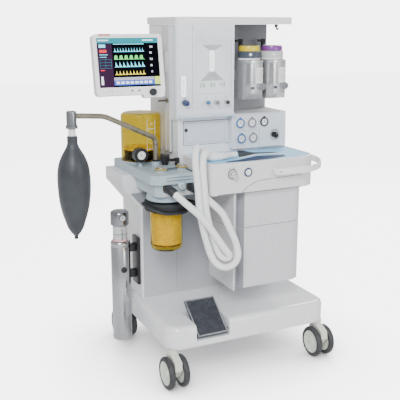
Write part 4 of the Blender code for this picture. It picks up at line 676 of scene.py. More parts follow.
def mat_hollow_shade():
    """Painted shade of the mat's hollow: a dark tapering patch with its white rim, and a deep-blue patch
    for the shaded front of the hollow.
    """
    top = 0.8383
    wedge = [(0.000, 0.128), (0.030, 0.138), (0.092, 0.168), (0.150, 0.158), (0.200, 0.153), (0.180, 0.180),
             (0.138, 0.189), (0.102, 0.206), (0.088, 0.256), (0.070, 0.272)]
    # painted shade: a dark patch standing for the deep part of the mat's hollow
    add("mat_shade_wedge", sheet_of(wedge, "Z", top - 0.0002, top + SKIN), "rubber")
    rim = [(-0.012, 0.118), (0.030, 0.124), (0.092, 0.154), (0.150, 0.146), (0.210, 0.142), (0.200, 0.1515),
           (0.150, 0.1562), (0.091, 0.1658), (0.030, 0.136), (-0.002, 0.1265)]
    add("mat_wedge_rim", sheet_of(rim, "Z", top - 0.0002, top + 2 * SKIN), "white")
    shaded_front_outline = [(-0.095, 0.060), (-0.030, 0.0485), (0.040, 0.0485), (0.120, 0.056), (0.180, 0.076),
              (0.190, 0.110), (0.131, 0.122), (0.076, 0.128), (0.029, 0.108), (-0.023, 0.086),
              (-0.083, 0.074)]
    # painted shade on the hollow's front wall
    add("mat_front_shade", sheet_of(shaded_front_outline, "Z", top - 0.0002, top + SKIN / 2), "front_shade_blue")


# ---------------------------------------------------------------- digits
SEGMENTS = {"0": "abcdef", "1": "bc", "2": "abged", "3": "abgcd", "4": "fgbc", "5": "afgcd", "6": "afgedc",
            "7": "abc", "8": "abcdefg", "9": "abcdfg"}


def digits(text, x, z, height, front, thick=0.0003):
    """Seven-segment figures standing on (x, z), read from the front."""
    width, bar, parts = height * 0.52, height * 0.16, []
    for letter in text:
        if letter == ".":
            parts.append(slab((x, front, z), (x + bar, front + thick, z + bar)))
            x += bar * 1.8
            continue
        half = height / 2
        boxes = {"a": (0, height - bar, width, height), "d": (0, 0, width, bar),
                 "g": (0, half - bar / 2, width, half + bar / 2), "f": (0, half, bar, height),
                 "b": (width - bar, half, width, height), "e": (0, 0, bar, half),
                 "c": (width - bar, 0, width, half)}
        for key in SEGMENTS[letter]:
            x0, z0, x1, z1 = boxes[key]
            parts.append(slab((x + x0, front, z + z0), (x + x1, front + thick, z + z1)))
        x += width * 1.35
    return merge(*parts)


# ---------------------------------------------------------------- column and panels
def vaporizer_bay():
    """Shaded back and floor of the vaporizer bay, the shelf's hook and the rail's peg."""
    # painted shade: the bay's back wall is darker towards the top
    add("bay_back", slab((0.0410, 0.4486, 0.9860), (0.3000, 0.4497, 1.3340)), "bay")
    add("bay_floor", slab((0.0410, 0.2790, 0.9852), (0.3015, 0.4480, 0.9862), 0.004), "light_grey")
    hook = smooth_path([(0.240, 0.272, 1.3345), (0.240, 0.272, 1.324), (0.240, 0.267, 1.317),
                        (0.240, 0.260, 1.316), (0.240, 0.256, 1.321)], 6)
    add("shelf_hook", merge(tube(hook, 0.0030, 12), disc(0.0070, 1.3240, 1.3347, (0.240, 0.272, 0), "Z",
                                                         0.0010)), "black")
    peg = merge(disc(0.0037, -0.2445, -0.2103, (0, 0.341, 1.046), "X", 0.0006, 32),
                disc(0.0087, -0.2105, -0.2023, (0, 0.341, 1.046), "X", 0.0012, 32))
    add("hook_peg", peg, "peg")


def door_details():
    """Outline and lock of the service door."""
    left, right, low, high = -0.157, 0.015, 0.881, 0.959
    front, thick = 0.2766, 0.0007
    lines = [slab((left, front, z), (right, front + thick, z + 0.0007)) for z in (low, high)]
    lines += [slab((x, front, low), (x + 0.0007, front + thick, high)) for x in (left, right)]
    add("door_outline", merge(*lines), "line", "service_door")
    lock = merge(ring(0.0042, 0.0070, 0.2722, 0.2772, (-0.156, 0, 0.934), "Y"),
                 disc(0.0042, 0.2732, 0.2760, (-0.156, 0, 0.934), "Y", 0.0004))
    add("door_lock", lock, "black", "service_door")
    add("door_keyway", slab((-0.1566, 0.2728, 0.9315), (-0.1554, 0.2734, 0.9365)), "steel", "service_door")


def tube_window(name, x, low, high, floor):
    """A flow tube: white scale plate with a painted glow, clear tube, float and marks."""
    # the plate's material glows: painted light
    plate = slab((x - 0.0088, floor - 0.0008, low), (x + 0.0088, floor + 0.0055, high), 0.0035, "Y")
    add(name + "_plate", plate, "bright", replaces=[name])
    height = high - low
    marks = [slab((x + 0.0035, floor - 0.0010, low + height * share),
                  (x + (0.0075 if k % 5 == 0 else 0.0058), floor - 0.0007,
                   low + height * share + 0.0006)) for k,
             share in enumerate((0.10 + 0.08 * k for k in range(11)))]
    add(name + "_scale", merge(*marks), "grey")
    bore = lathe([(0.0026, low + 0.006), (0.0030, low + 0.006), (0.0038, high - 0.006),
                  (0.0034, high - 0.006)], (x - 0.0015, floor - 0.0012, 0), "Z", 28)
    add(name + "_glass", bore, "clear")
    float_z = low + height * 0.18
    bobbin = lathe([(0, float_z), (0.0016, float_z + 0.001), (0.0022, float_z + 0.004),
                    (0.0012, float_z + 0.0055), (0, float_z + 0.0055)], (x - 0.0015, floor - 0.0012, 0),
                   "Z", 20)
    add(name + "_float", bobbin, "steel")


def flow_panel():
    """Flow tubes, sloping funnels, three green displays and the plate under the needle valves."""
    front, floor = 0.250, 0.256
    tube_window("auxiliary_flow_tube", -0.176, 1.067, 1.144, front)
    tube_window("main_flow_tube", -0.053, 1.160, 1.237, floor)
    funnels = merge(sheet_of([(-0.098, 1.2585), (-0.008, 1.2585), (-0.0405, 1.2395), (-0.0655, 1.2395)],
                             "Y", floor - 0.0012, floor + 0.0005),
                    sheet_of([(-0.0655, 1.1575), (-0.0405, 1.1575), (-0.004, 1.1240), (-0.102, 1.1240)],
                             "Y", floor - 0.0012, floor + 0.0005))
    add("flow_funnels", funnels, "edge_line")
    displays, shown = [], []
    for x, value in ((-0.091, "2.0"), (-0.047, "0.0"), (-0.003, "4.0")):
        displays.append(slab((x - 0.0155, floor - 0.0016, 1.0995), (x + 0.0155, floor + 0.0005, 1.1165),
                             0.0020, "Y"))
        shown.append(digits(value, x - 0.0135, 1.1012, 0.0136, floor - 0.0020))
    add("flow_displays", merge(*displays), "white")
    add("flow_figures", merge(*shown), "digits_green")
    plate = slab((-0.1290, front - 0.0012, 1.0150), (0.0330, front + 0.0005, 1.0710), 0.0100, "Y", 0.0004)
    add("needle_valve_plate", plate, "panel")
    bars = [slab((-0.1310, front - SKIN, 1.0742), (0.0350, front + SKIN, 1.0750))]
    for x in (-0.172, -0.080, -0.040, 0.004):
        stand = 0.0014 if x > -0.13 else 0.0004
        bars.append(slab((x - 0.0042, front - stand - SKIN, 1.0605), (x + 0.0042, front - stand + SKIN,
                                                                      1.0622)))
        bars.append(slab((x - 0.0012, front - stand - SKIN, 1.0575), (x + 0.0012, front - stand + SKIN,
                                                                      1.0587)))
    add("flow_panel_marks", merge(*bars), "line")
    # painted shade: the panel's lower bevel in shade, as a pale blue-grey strip
    add("flow_panel_shaded_lip", slab((-0.1940, 0.2352, 0.9856), (0.0385, 0.2362, 0.9915)), "lip_shade")


def flow_knobs():
    """The four needle-valve knobs: a fluted skirt and a coloured cap each."""
    looks = {"auxiliary_oxygen_knob": ("navy", "navy", -0.172, 1.044, 0.0120),
             "nitrous_oxide_knob": ("light_grey", "blue", -0.080, 1.042, 0.0085),
             "air_knob": ("light_grey", "grey", -0.040, 1.041, 0.0085),
             "oxygen_knob": ("light_grey", "black", 0.004, 1.040, 0.0085)}
    for name, (skirt_look, cap_look, x, z, radius) in looks.items():
        stand = 0.0016 if x > -0.13 else 0.0006
        skirt = merge(fluted(radius, radius * 0.07, 18, -0.250 + stand, -0.2365 + 0.0020, (x, 0, z), "Y"),
                      disc(0.003, 0.2480, 0.2615, (x, 0, z), "Y", segments=20))
        add(name + "_skirt", skirt, skirt_look, name, [name])
        cap = merge(disc(radius * 0.86, 0.2258, 0.2360, (x, 0, z), "Y", 0.0018),
                    slab((x - 0.0006, 0.2254, z + radius * 0.2), (x + 0.0006, 0.2262, z + radius * 0.75)))
        add(name + "_cap", cap, cap_look, name)


def gauges():
    """Five pressure gauges with coloured rims, and the system switch."""
    spots = {"blue": ((0.070, 0.952), (0.076, 0.890)), "grey": ((0.124, 0.951), (0.130, 0.890)),
             "black": ((0.180, 0.952),)}
    faces, marks = [], []
    for look, places in spots.items():
        rims = []
        for x, z in places:
            rims.append(ring(0.0140, 0.0188, 0.2444, 0.2500, (x, 0, z), "Y"))
            rims.append(slab((x - 0.0042, 0.2450, z + 0.0165), (x + 0.0042, 0.2498, z + 0.0228),
                             soft=0.0008))
            faces.append(disc(0.0150, 0.2472, 0.2482, (x, 0, z), "Y"))
            for k in range(11):
                turn = Matrix.Translation((x, 0, z)) @ Matrix.Rotation(radians(135 - 27 * k), 4, "Y")
                long = 0.0030 if k % 5 == 0 else 0.0018
                tick = slab((-0.0003, 0.2468, 0.0138 - long), (0.0003, 0.2473, 0.0138))
                bmesh.ops.transform(tick, matrix=turn, verts=tick.verts)
                marks.append(tick)
            needle = sheet_of([(-0.0007, -0.003), (0.0007, -0.003), (0.0002, 0.0112), (-0.0002, 0.0112)],
                              "Y", 0.2464, 0.2467)
            turn = Matrix.Translation((x, 0, z)) @ Matrix.Rotation(radians(38), 4, "Y")
            bmesh.ops.transform(needle, matrix=turn, verts=needle.verts)
            marks += [needle, disc(0.0018, 0.2460, 0.2472, (x, 0, z), "Y", segments=20)]
        add("gauge_rims_" + look, merge(*rims), look)
    add("gauge_dials", merge(*faces), "white")
    add("gauge_marks", merge(*marks), "black")
    line = slab((0.0450, 0.2556, 0.9202), (0.1520, 0.2562, 0.9208))
    add("gauge_panel_line", line, "line")
    x, z = 0.232, 0.896
    body = merge(fluted(0.0120, 0.0008, 16, -0.2585, -0.2370, (x, 0, z), "Y"),
                 slab((x - 0.0024, 0.2330, z - 0.0110), (x + 0.0024, 0.2400, z + 0.0110), 0.0018, "Y",
                      0.0005), disc(0.004, 0.2580, 0.2710, (x, 0, z), "Y", segments=20))
    add("system_switch_knob", body, "black", "system_switch", replaces=["system_switch"])
    add("system_switch_mark", slab((x - 0.0005, 0.2325, z + 0.0035), (x + 0.0005, 0.2331, z + 0.0098)),
        "white", "system_switch")
    add("system_switch_dish", ring(0.0236, 0.0252, 0.2492, 0.2502, (x, 0, z), "Y"), "light_grey")


# ---------------------------------------------------------------- vaporizers
def wrapped(x, start, end, low, high, stand):
    """A thin skin on a vaporizer's rounded front, from one distance along its outline to another."""
    half_flat, corner, front = 0.015, 0.032, 0.274

    def spot(u, out):
        side = 1 if u >= 0 else -1
        u = abs(u)
        if u <= half_flat:
            return x + side * u, front - out
        angle = min((u - half_flat) / corner, pi / 2)
        reach = corner + out
        beyond = max(0.0, u - half_flat - corner * pi / 2)
        return (x + side * (half_flat + reach * sin(angle)), front + corner - reach * cos(angle) + beyond)

    steps = max(2, ceil((end - start) / 0.003))
    us = [start + (end - start) * k / steps for k in range(steps + 1)]
    outline = [spot(u, stand) for u in us] + [spot(u, 0.0) for u in reversed(us)]
    bm = bmesh.new()
    lower = [bm.verts.new((a, b, low)) for a, b in outline]
    upper = [bm.verts.new((a, b, high)) for a, b in outline]
    count = len(outline)
    for k in range(count):
        n = (k + 1) % count
        bm.faces.new((lower[k], lower[n], upper[n], upper[k]))
    for k in range(steps):
        j = count - 1 - k
        bm.faces.new((lower[k], lower[k + 1], lower[j - 1], lower[j]))
        bm.faces.new((upper[k], upper[j], upper[j - 1], upper[k + 1]))
    return bm


def vaporizers():
    """Each vaporizer's plate, bands and filler, its ringed dial and its lock lever."""
    settings = (("left", 0.151, "yellow", "slate", "vaporizer_dial_dark"),
                ("right", 0.258, "purple", "light_grey", "vaporizer_dial_light"))
    y, low = 0.330, 1.1956
    for side, x, ring_look, dial_look, slot in settings:
        plate = wrapped(x, 0.002, 0.048, 1.104, 1.166, 0.0008)
        add("vaporizer_plate_" + side, plate, "white")
        lines = [wrapped(x, 0.006, 0.040 - 0.006 * (k % 3), 1.154 - 0.0075 * k, 1.1552 - 0.0075 * k, 0.0011)
                 for k in range(6)]
        lines.append(wrapped(x, -0.060, 0.060, 1.1835, 1.1850, 0.0005))
        lines.append(wrapped(x, -0.060, 0.060, 1.0985, 1.0995, 0.0005))
        add("vaporizer_lines_" + side, merge(*lines), "line")
        bands = merge(wrapped(x, -0.040, -0.026, 1.101, 1.183, 0.0006),
                      wrapped(x, -0.012, -0.004, 1.101, 1.183, 0.0006))
        add("vaporizer_bands_" + side, bands, "steel")
        sight = slab((x - 0.021, 0.2728, 1.081), (x - 0.005, 0.2760, 1.091), 0.0025, "Y")
        add("vaporizer_sight_" + side, sight, "slate")
        cap = merge(fluted(0.0142, 0.0009, 20, -0.2668, -0.2580, (x + 0.026, 0, 1.092), "Y"),
                    slab((x + 0.0245, 0.2560, 1.0845), (x + 0.0275, 0.2590, 1.0995), soft=0.0006))
        add("vaporizer_filler_" + side, cap, "grey")
        body = "vaporizer_dial_" + side
        collar = lathe([(0.0400, low + 0.0002), (0.0455, low + 0.0002), (0.0463, low + 0.0010),
                        (0.0463, low + 0.0070), (0.0450, low + 0.0080), (0.0400, low + 0.0080)], (x, y, 0),
                       "Z", 96)
        add("vaporizer_collar_" + side, collar, "white", body)
        band = lathe([(0.0370, low + 0.0352), (0.0418, low + 0.0352), (0.0420, low + 0.0500),
                      (0.0402, low + 0.0552), (0.0370, low + 0.0565)], (x, y, 0), "Z", 96)
        add("vaporizer_ring_" + side, band, ring_look, body)
        dial = merge(fluted(0.0460, 0.0013, 40, low + 0.0082, low + 0.0350, (x, y, 0), "Z", 0.0025),
                     lathe([(0, low + 0.034), (0.0372, low + 0.034), (0.0372, low + 0.0560),
                            (0.0360, low + 0.0570), (0.0335, low + 0.0560), (0.0100, low + 0.0560),
                            (0.0090, low + 0.0570), (0, low + 0.0570)], (x, y, 0), "Z", 96),
                     disc(0.006, low - 0.0195, low + 0.009, (x, y, 0), "Z", segments=24))
        add("vaporizer_dial_grip_" + side, dial, dial_look, body, [body])
        angle = radians(-112)
        spot = Vector((x, y, 0)) + Vector((cos(angle), sin(angle), 0)) * 0.0456
        dot = disc(0.0058, -0.0012, 0.0012, (0, 0, 0), "Z", 0.0005, 28)
        face = Matrix.Translation((spot.x, spot.y, low + 0.0225)) @ Matrix.Rotation(angle, 4, "Z") \
            @ Matrix.Rotation(pi / 2, 4, "Y")
        add("vaporizer_dial_mark_" + side, dot, "white", body, matrix=face)
        ticks = []
        for k in range(13):
            turn = radians(-112 + 13 * (k - 3))
            tick = slab((0.0458, -0.0004, low + 0.0012), (0.0466, 0.0004, low + 0.0060))
            bmesh.ops.transform(tick, matrix=Matrix.Translation((x, y, 0)) @ Matrix.Rotation(turn, 4, "Z"),
                                verts=tick.verts)
            ticks.append(tick)
        add("vaporizer_dial_scale_" + side, merge(*ticks), "black", body)
        lever_y = 0.40485
        lock = merge(lathe([(0, low - 0.0195), (0.005, low - 0.0195), (0.005, low), (0.0085, low),
                            (0.0085, low + 0.066), (0.0100, low + 0.0675), (0.0110, low + 0.069),
                            (0.0110, low + 0.078), (0.0095, low + 0.081), (0, low + 0.082)],
                           (x, lever_y, 0), "Z", 40), slab((x - 0.026, lever_y - 0.006, low + 0.0695),
                                                           (x, lever_y + 0.006, low + 0.0785), 0.0045, "Z",
                                                           0.0008))
        name = "vaporizer_lock_" + side
        add(name + "_lever", lock, "rubber", name, replaces=[name])


# ---------------------------------------------------------------- monitor
MONITOR = Matrix.Translation((-0.377, 0.345, 1.181)) @ Matrix.Rotation(-radians(10), 4, "X")
SCREEN_LEFT, SCREEN_TOP, SCREEN_WIDTH, SCREEN_HEIGHT = -0.1203, 0.0978, 0.2391, 0.1796
SCREEN_FLOOR, LAYER = -0.0530, 0.00025


def tile(u0, u1, v0, v1, layer=2):
    """Part of the screen, by shares of its width from the left and of its height from the top."""
    front = SCREEN_FLOOR - LAYER * layer
    return slab((SCREEN_LEFT + SCREEN_WIDTH * u0, front, SCREEN_TOP - SCREEN_HEIGHT * v1),
                (SCREEN_LEFT + SCREEN_WIDTH * u1, front + LAYER * 0.9, SCREEN_TOP - SCREEN_HEIGHT * v0))


def trace(shape, base, height, repeats):
    """A row of filled waves across the screen's middle, from one wave's (share, level) points."""
    start, end = 0.262, 0.762
    step = (end - start) / repeats
    waves = []
    for k in range(repeats):
        outline = [(SCREEN_LEFT + SCREEN_WIDTH * (start + step * (k + share)),
                    SCREEN_TOP - SCREEN_HEIGHT * (base - height * level)) for share, level in shape]
        waves.append(sheet_of(outline, "Y", SCREEN_FLOOR - LAYER * 3, SCREEN_FLOOR - LAYER * 2))
    return merge(*waves, tile(start, end, base - 0.004, base + 0.004, 3))


def monitor():
    """Screen picture, alarm lamp, keys and knob of the monitor."""
    def show(name, bm, look):
        add(name, bm, look, "monitor", matrix=MONITOR)

    show("screen_back", tile(0, 1, 0, 1, 1), "screen_black")
    show("screen_bar_top", tile(0, 1, 0, 0.105), "screen_teal")
    show("screen_column", tile(0, 0.238, 0.105, 1), "screen_purple")
    show("screen_reds", merge(tile(0.035, 0.150, 0.235, 0.295, 3), tile(0.035, 0.100, 0.640, 0.662, 3)),
         "screen_red")
    cyan = [tile(0.030, 0.135, 0.130, 0.195, 3), tile(0.262, 0.762, 0.118, 0.132, 3),
            tile(0.035, 0.165, 0.330, 0.342, 3), tile(0.035, 0.140, 0.380, 0.392, 3),
            trace(((0, 0), (0.30, 0.10), (0.50, 1), (0.62, 0.30), (1, 0)), 0.280, 0.085, 11),
            trace(((0, 0), (0.20, 0), (0.34, 1), (0.60, 0.45), (1, 0)), 0.590, 0.110, 8)]
    show("screen_cyans", merge(*cyan), "screen_cyan")
    green = trace(((0, 0), (0.12, 0.85), (0.28, 1), (0.62, 0.92), (0.74, 0)), 0.435, 0.085, 6)
    show("screen_greens", green, "screen_green")
    yellow = trace(((0, 0), (0.28, 0.15), (0.45, 1), (0.62, 0.25), (1, 0)), 0.745, 0.085, 9)
    show("screen_yellows", yellow, "screen_yellow")
    grid = [tile(0.03, 0.215, v, v + 0.005, 3) for v in (0.43, 0.49, 0.55, 0.605)]
    grid += [tile(u, u + 0.003, 0.43, 0.610, 3) for u in (0.03, 0.12, 0.212)]
    show("screen_grid", merge(*grid), "screen_teal")
    white = [tile(0.032, 0.068, 0.775, 0.945, 3), tile(0.02, 0.19, 0.035, 0.060, 3),
             tile(0.74, 0.92, 0.035, 0.060, 3)]
    values = (("120", 0.16), ("98", 0.28), ("5.0", 0.41), ("36", 0.54), ("12", 0.67))
    for text, v in values:
        white.append(digits(text, SCREEN_LEFT + SCREEN_WIDTH * 0.850,
                            SCREEN_TOP - SCREEN_HEIGHT * (v + 0.045), 0.0068, SCREEN_FLOOR - LAYER * 3))
    white += [tile(0.270 + 0.076 * k, 0.325 + 0.076 * k, 0.885, 0.935, 4) for k in range(8)]
    show("screen_whites", merge(*white), "screen_white")
    show("screen_lilacs", tile(0.238, 0.895, 0.800, 0.860), "screen_lilac")
    show("screen_blues", tile(0.238, 1, 0.860, 0.965), "screen_blue")
    show("screen_corner", tile(0.905, 1, 0.800, 0.960, 3), "screen_lime")
    show("alarm_lamp", slab((-0.1115, -0.0562, 0.1040), (-0.0660, -0.0250, 0.1132), 0.0030, "Y", 0.0008),
         "lamp_red")
    buttons = []
    for x in (0.0025, 0.0310):
        oval = disc(0.0032, -0.0562, -0.0540, (0, 0, 0), "Y", 0.0008, 28)
        bmesh.ops.transform(oval, matrix=Matrix.Translation((x, 0, -0.0965))
                            @ Matrix.Diagonal((1.7, 1, 0.8, 1)), verts=oval.verts)
        buttons.append(oval)
    buttons += [slab((x, -0.0553, -0.0985), (x + 0.0035, -0.0546, -0.0955)) for x in (-0.088, -0.077)]
    show("monitor_keys", merge(*buttons), "slate")
    knob_x, knob_z = 0.083, -0.1045
    seat = ring(0.0132, 0.0152, -0.0566, -0.0548, (knob_x, 0, knob_z), "Y")
    show("monitor_knob_seat", seat, "light_grey")
    knob = merge(fluted(0.0128, 0.0008, 22, 0.0556, 0.0708, (knob_x, 0, knob_z), "Y"),
                 disc(0.003, -0.0560, -0.0436, (knob_x, 0, knob_z), "Y", segments=20))
    add("monitor_knob_grip", knob, "rubber", "monitor_knob", replaces=["monitor_knob"], matrix=MONITOR)


# ---------------------------------------------------------------- absorber
TRAY_TOP = 0.800
CANISTER, DOME, BAG = (-0.275, 0.200), (-0.283, 0.436), (-0.617, 0.250)     # x and y of their axes
VALVE_SEATS = (("left", (-0.300, 0.186)), ("right", (-0.206, 0.206)))
PORTS, PORT_HEIGHT, PORT = {"exhale": -0.305, "inhale": -0.210}, 0.7475, 0.108  # x, z, and y of their front


def absorber_details():
    """Airway gauge, oxygen sensor, port rings and the lines and trims of the tray."""
    x, y, z = -0.331, 0.306, 0.843
    sleeve = merge(ring(0.0278, 0.0286, y - 0.0004, 0.3364, (x, 0, z), "Y", 64),
                   ring(0.0166, 0.0284, y - 0.0012, y + 0.0030, (x, 0, z), "Y", 64))
    add("airway_gauge_sleeve", sleeve, "black")
    add("airway_gauge_dial", disc(0.0172, y - 0.0004, y + 0.0010, (x, 0, z), "Y"), "white")
    marks = []
    for k in range(15):
        tick = slab((-0.0005, y - 0.0008, 0.0125 - (0.0025 if k % 7 == 0 else 0)),
                    (0.0005, y - 0.0004, 0.0152))
        bmesh.ops.transform(tick, matrix=Matrix.Translation((x, 0, z))
                            @ Matrix.Rotation(radians(-126 + 18 * k), 4, "Y"), verts=tick.verts)
        marks.append(tick)
    needle = sheet_of([(-0.0010, -0.005), (0.0010, -0.005), (0.0003, 0.0130), (-0.0003, 0.0130)], "Y",
                      y - 0.0011, y - 0.0008)
    bmesh.ops.transform(needle, matrix=Matrix.Translation((x, 0, z))
                        @ Matrix.Rotation(radians(-52), 4, "Y"), verts=needle.verts)
    marks += [needle, disc(0.0026, y - 0.0014, y - 0.0004, (x, 0, z), "Y", 0.0003, 24)]
    add("airway_gauge_marks", merge(*marks), "black")
    vx, vz = -0.2575, 0.759
    cap = fluted(0.0124, 0.0007, 20, -0.1120, -0.0856, (vx, 0, vz), "Y", 0.0025)
    add("oxygen_sensor", cap, "white")
    add("oxygen_sensor_mark",
        merge(slab((vx - 0.0045, 0.0851, vz - 0.0045), (vx + 0.0045, 0.0860, vz - 0.0015)),
              slab((vx - 0.0010, 0.0851, vz - 0.0015), (vx + 0.0010, 0.0860, vz + 0.0045))), "black")
    rings, collars = [], []
    for port in PORTS.values():
        rings.append(ring(0.0140, 0.0162, 0.1095, 0.1125, (port, 0, PORT_HEIGHT), "Y"))
        collars.append(ring(0.0145, 0.0182, 0.1128, 0.1168, (port, 0, PORT_HEIGHT), "Y"))
    add("port_rings", merge(*rings), "brown")
    add("port_collars", merge(*collars), "black")
    add("absorber_plate", slab((-0.3240, 0.1152, 0.7180), (-0.1920, 0.1164, 0.7330), 0.003, "Y"),
        "light_grey")
    lip = merge(slab((-0.3120, 0.1014, 0.7775), (-0.1960, 0.1026, 0.7796)),
                slab((-0.3120, 0.1014, 0.7895), (-0.1960, 0.1026, 0.7912)))
    add("tray_lines", lip, "absorber_edge")
    bar = slab((-0.1985, 0.122, 0.7995), (-0.1925, 0.252, 0.8035), soft=0.0008)
    add("tray_edge_bar", bar, "black")
    rims = [ring(0.0205, 0.0234, 0.8036, 0.8052, (*spot, 0), "Z") for _, spot in VALVE_SEATS]
    add("valve_seat_rims", merge(*rims), "absorber_edge")
    clip = slab((-0.3525, 0.150, 0.768), (-0.3475, 0.172, 0.794), 0.002, "X", 0.0006)
    add("tray_clip", clip, "light_grey")


def check_valves():
    """Two knurled gold rings under clear domes, joined by a strip."""
    low = TRAY_TOP + 0.0043
    for name, (x, y) in VALVE_SEATS:
        knurl = fluted(0.0225, 0.0010, 28, low + 0.0002, low + 0.0076, (x, y, 0), "Z", 0.0012)
        add("check_valve_ring_" + name, knurl, "gold",
            replaces=["check_valve_caps"] if name == "left" else ())
        dome = [(0.0180, low + 0.0072)]
        dome += [(0.0180 * cos(radians(a)), low + 0.0078 + 0.0100 * sin(radians(a)))
                 for a in range(0, 90, 10)]
        dome += [(0, low + 0.0178), (0, low + 0.0166)]
        dome += [(0.0168 * cos(radians(a)), low + 0.0076 + 0.0090 * sin(radians(a)))
                 for a in range(80, -10, -10)]
        add("check_valve_dome_" + name, lathe(dome, (x, y, 0), "Z", 48), "clear")
        flap = disc(0.0120, low + 0.0078, low + 0.0092, (x, y, 0), "Z", 0.0004)
        add("check_valve_disc_" + name, flap, "white")
    a, b = (Vector((*spot, low + 0.0015)) for _, spot in VALVE_SEATS)
    middle, length = (a + b) / 2, (b - a).length
    strip = slab((-length / 2, -0.0058, -0.0013), (length / 2, 0.0058, 0.0013), soft=0.0005)
    turn = Matrix.Translation(middle) @ Matrix.Rotation(Vector((1,
                                                                0)).angle_signed(Vector((b - a)[:2])) * -1,
                                                        4, "Z")
    add("check_valve_strip", strip, "absorber_edge", matrix=turn)


def bellows_unit():
    """Amber dome with its graduation, pleated black bellows and yellow disc."""
    low, r, wall, top = TRAY_TOP + 0.0003, 0.080, 0.003, 0.995
    shell = [(r, low), (r, top - 0.016)]
    shell += [(r - 0.016 + 0.016 * cos(radians(a)), top - 0.016 + 0.016 * sin(radians(a)))
              for a in range(15, 91, 15)]
    shell += [(0, top), (0, top - wall)]
    shell += [(r - 0.016 + 0.013 * cos(radians(a)), top - 0.016 + 0.013 * sin(radians(a)))
              for a in range(90, -1, -15)]
    shell += [(r - wall, low)]
    dome = lathe_open(shell, (*DOME, 0), 96)
    add("dome_shell", dome, "amber", replaces=["bellows_dome"])
    rim = lathe([(0.0772, low + 0.0002), (0.0797, low + 0.0002), (0.0797, low + 0.0090),
                 (0.0772, low + 0.0090)], (*DOME, 0), "Z", 96)
    add("dome_rim", rim, "amber_edge")
    marks = []
    for k in range(6):
        angle, z = radians(-80), low + 0.055 + 0.0200 * k
        long = 0.10 if k % 2 else 0.22
        arc = lathe([(0.0799, z), (0.0804, z), (0.0804, z + 0.0012), (0.0799, z + 0.0012)], (*DOME, 0), "Z",
                    180)
        middle = Vector((cos(angle), sin(angle)))
        gone = [v for v in arc.verts
                if abs(Vector((v.co.x - DOME[0], v.co.y - DOME[1])).angle_signed(middle)) > long]
        bmesh.ops.delete(arc, geom=gone, context="VERTS")
        marks.append(arc)
    for turn in (-93, -67):
        x, y = (c + 0.0800 * f(radians(turn)) for c, f in zip(DOME, (cos, sin)))
        marks.append(tube([Vector((x, y, low + 0.034)), Vector((x, y, top - 0.024))], 0.0006, 8))
    add("dome_graduation", merge(*marks), "white")
    pleats, count, height = [(0, low + 0.0002), (0.062, low + 0.0002)], 6, 0.0450
    for k in range(count):
        for share, radius in ((0.06, 0.0635), (0.30, 0.0665), (0.50, 0.0690), (0.70, 0.0665),
                              (0.94, 0.0635)):
            pleats.append((radius, low + 0.0003 + height * (k + share) / count))
    pleats += [(0.062, low + height), (0, low + height)]
    skin = add("bellows_skin", lathe(pleats, (*DOME, 0), "Z", 72), "rubber", None, replaces=["bellows"],
               sharp=50)
    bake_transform(skin)
    z = 0.846
    disc_profile = [(0, z), (0.068, z), (0.0695, z + 0.0012), (0.0700, z + 0.004), (0.0695, z + 0.0075),
                    (0.0660, z + 0.0098), (0.0520, z + 0.0104), (0.0500, z + 0.0090), (0.0200, z + 0.0092),
                    (0.0180, z + 0.0116), (0, z + 0.0118)]
    add("bellows_plate", lathe(disc_profile, (*DOME, 0), "Z", 72), "yellow", "bellows_disc",
        replaces=["bellows_disc"])


def lathe_open(profile, centre, segments):
    """A thin cup, whose profile runs up the outside to the axis and down the inside, closed at its rim."""
    bm = lathe(profile, centre, "Z", segments)
    edges = [e for e in bm.edges if len(e.link_faces) == 1]
    bmesh.ops.bridge_loops(bm, edges=edges)
    return bm


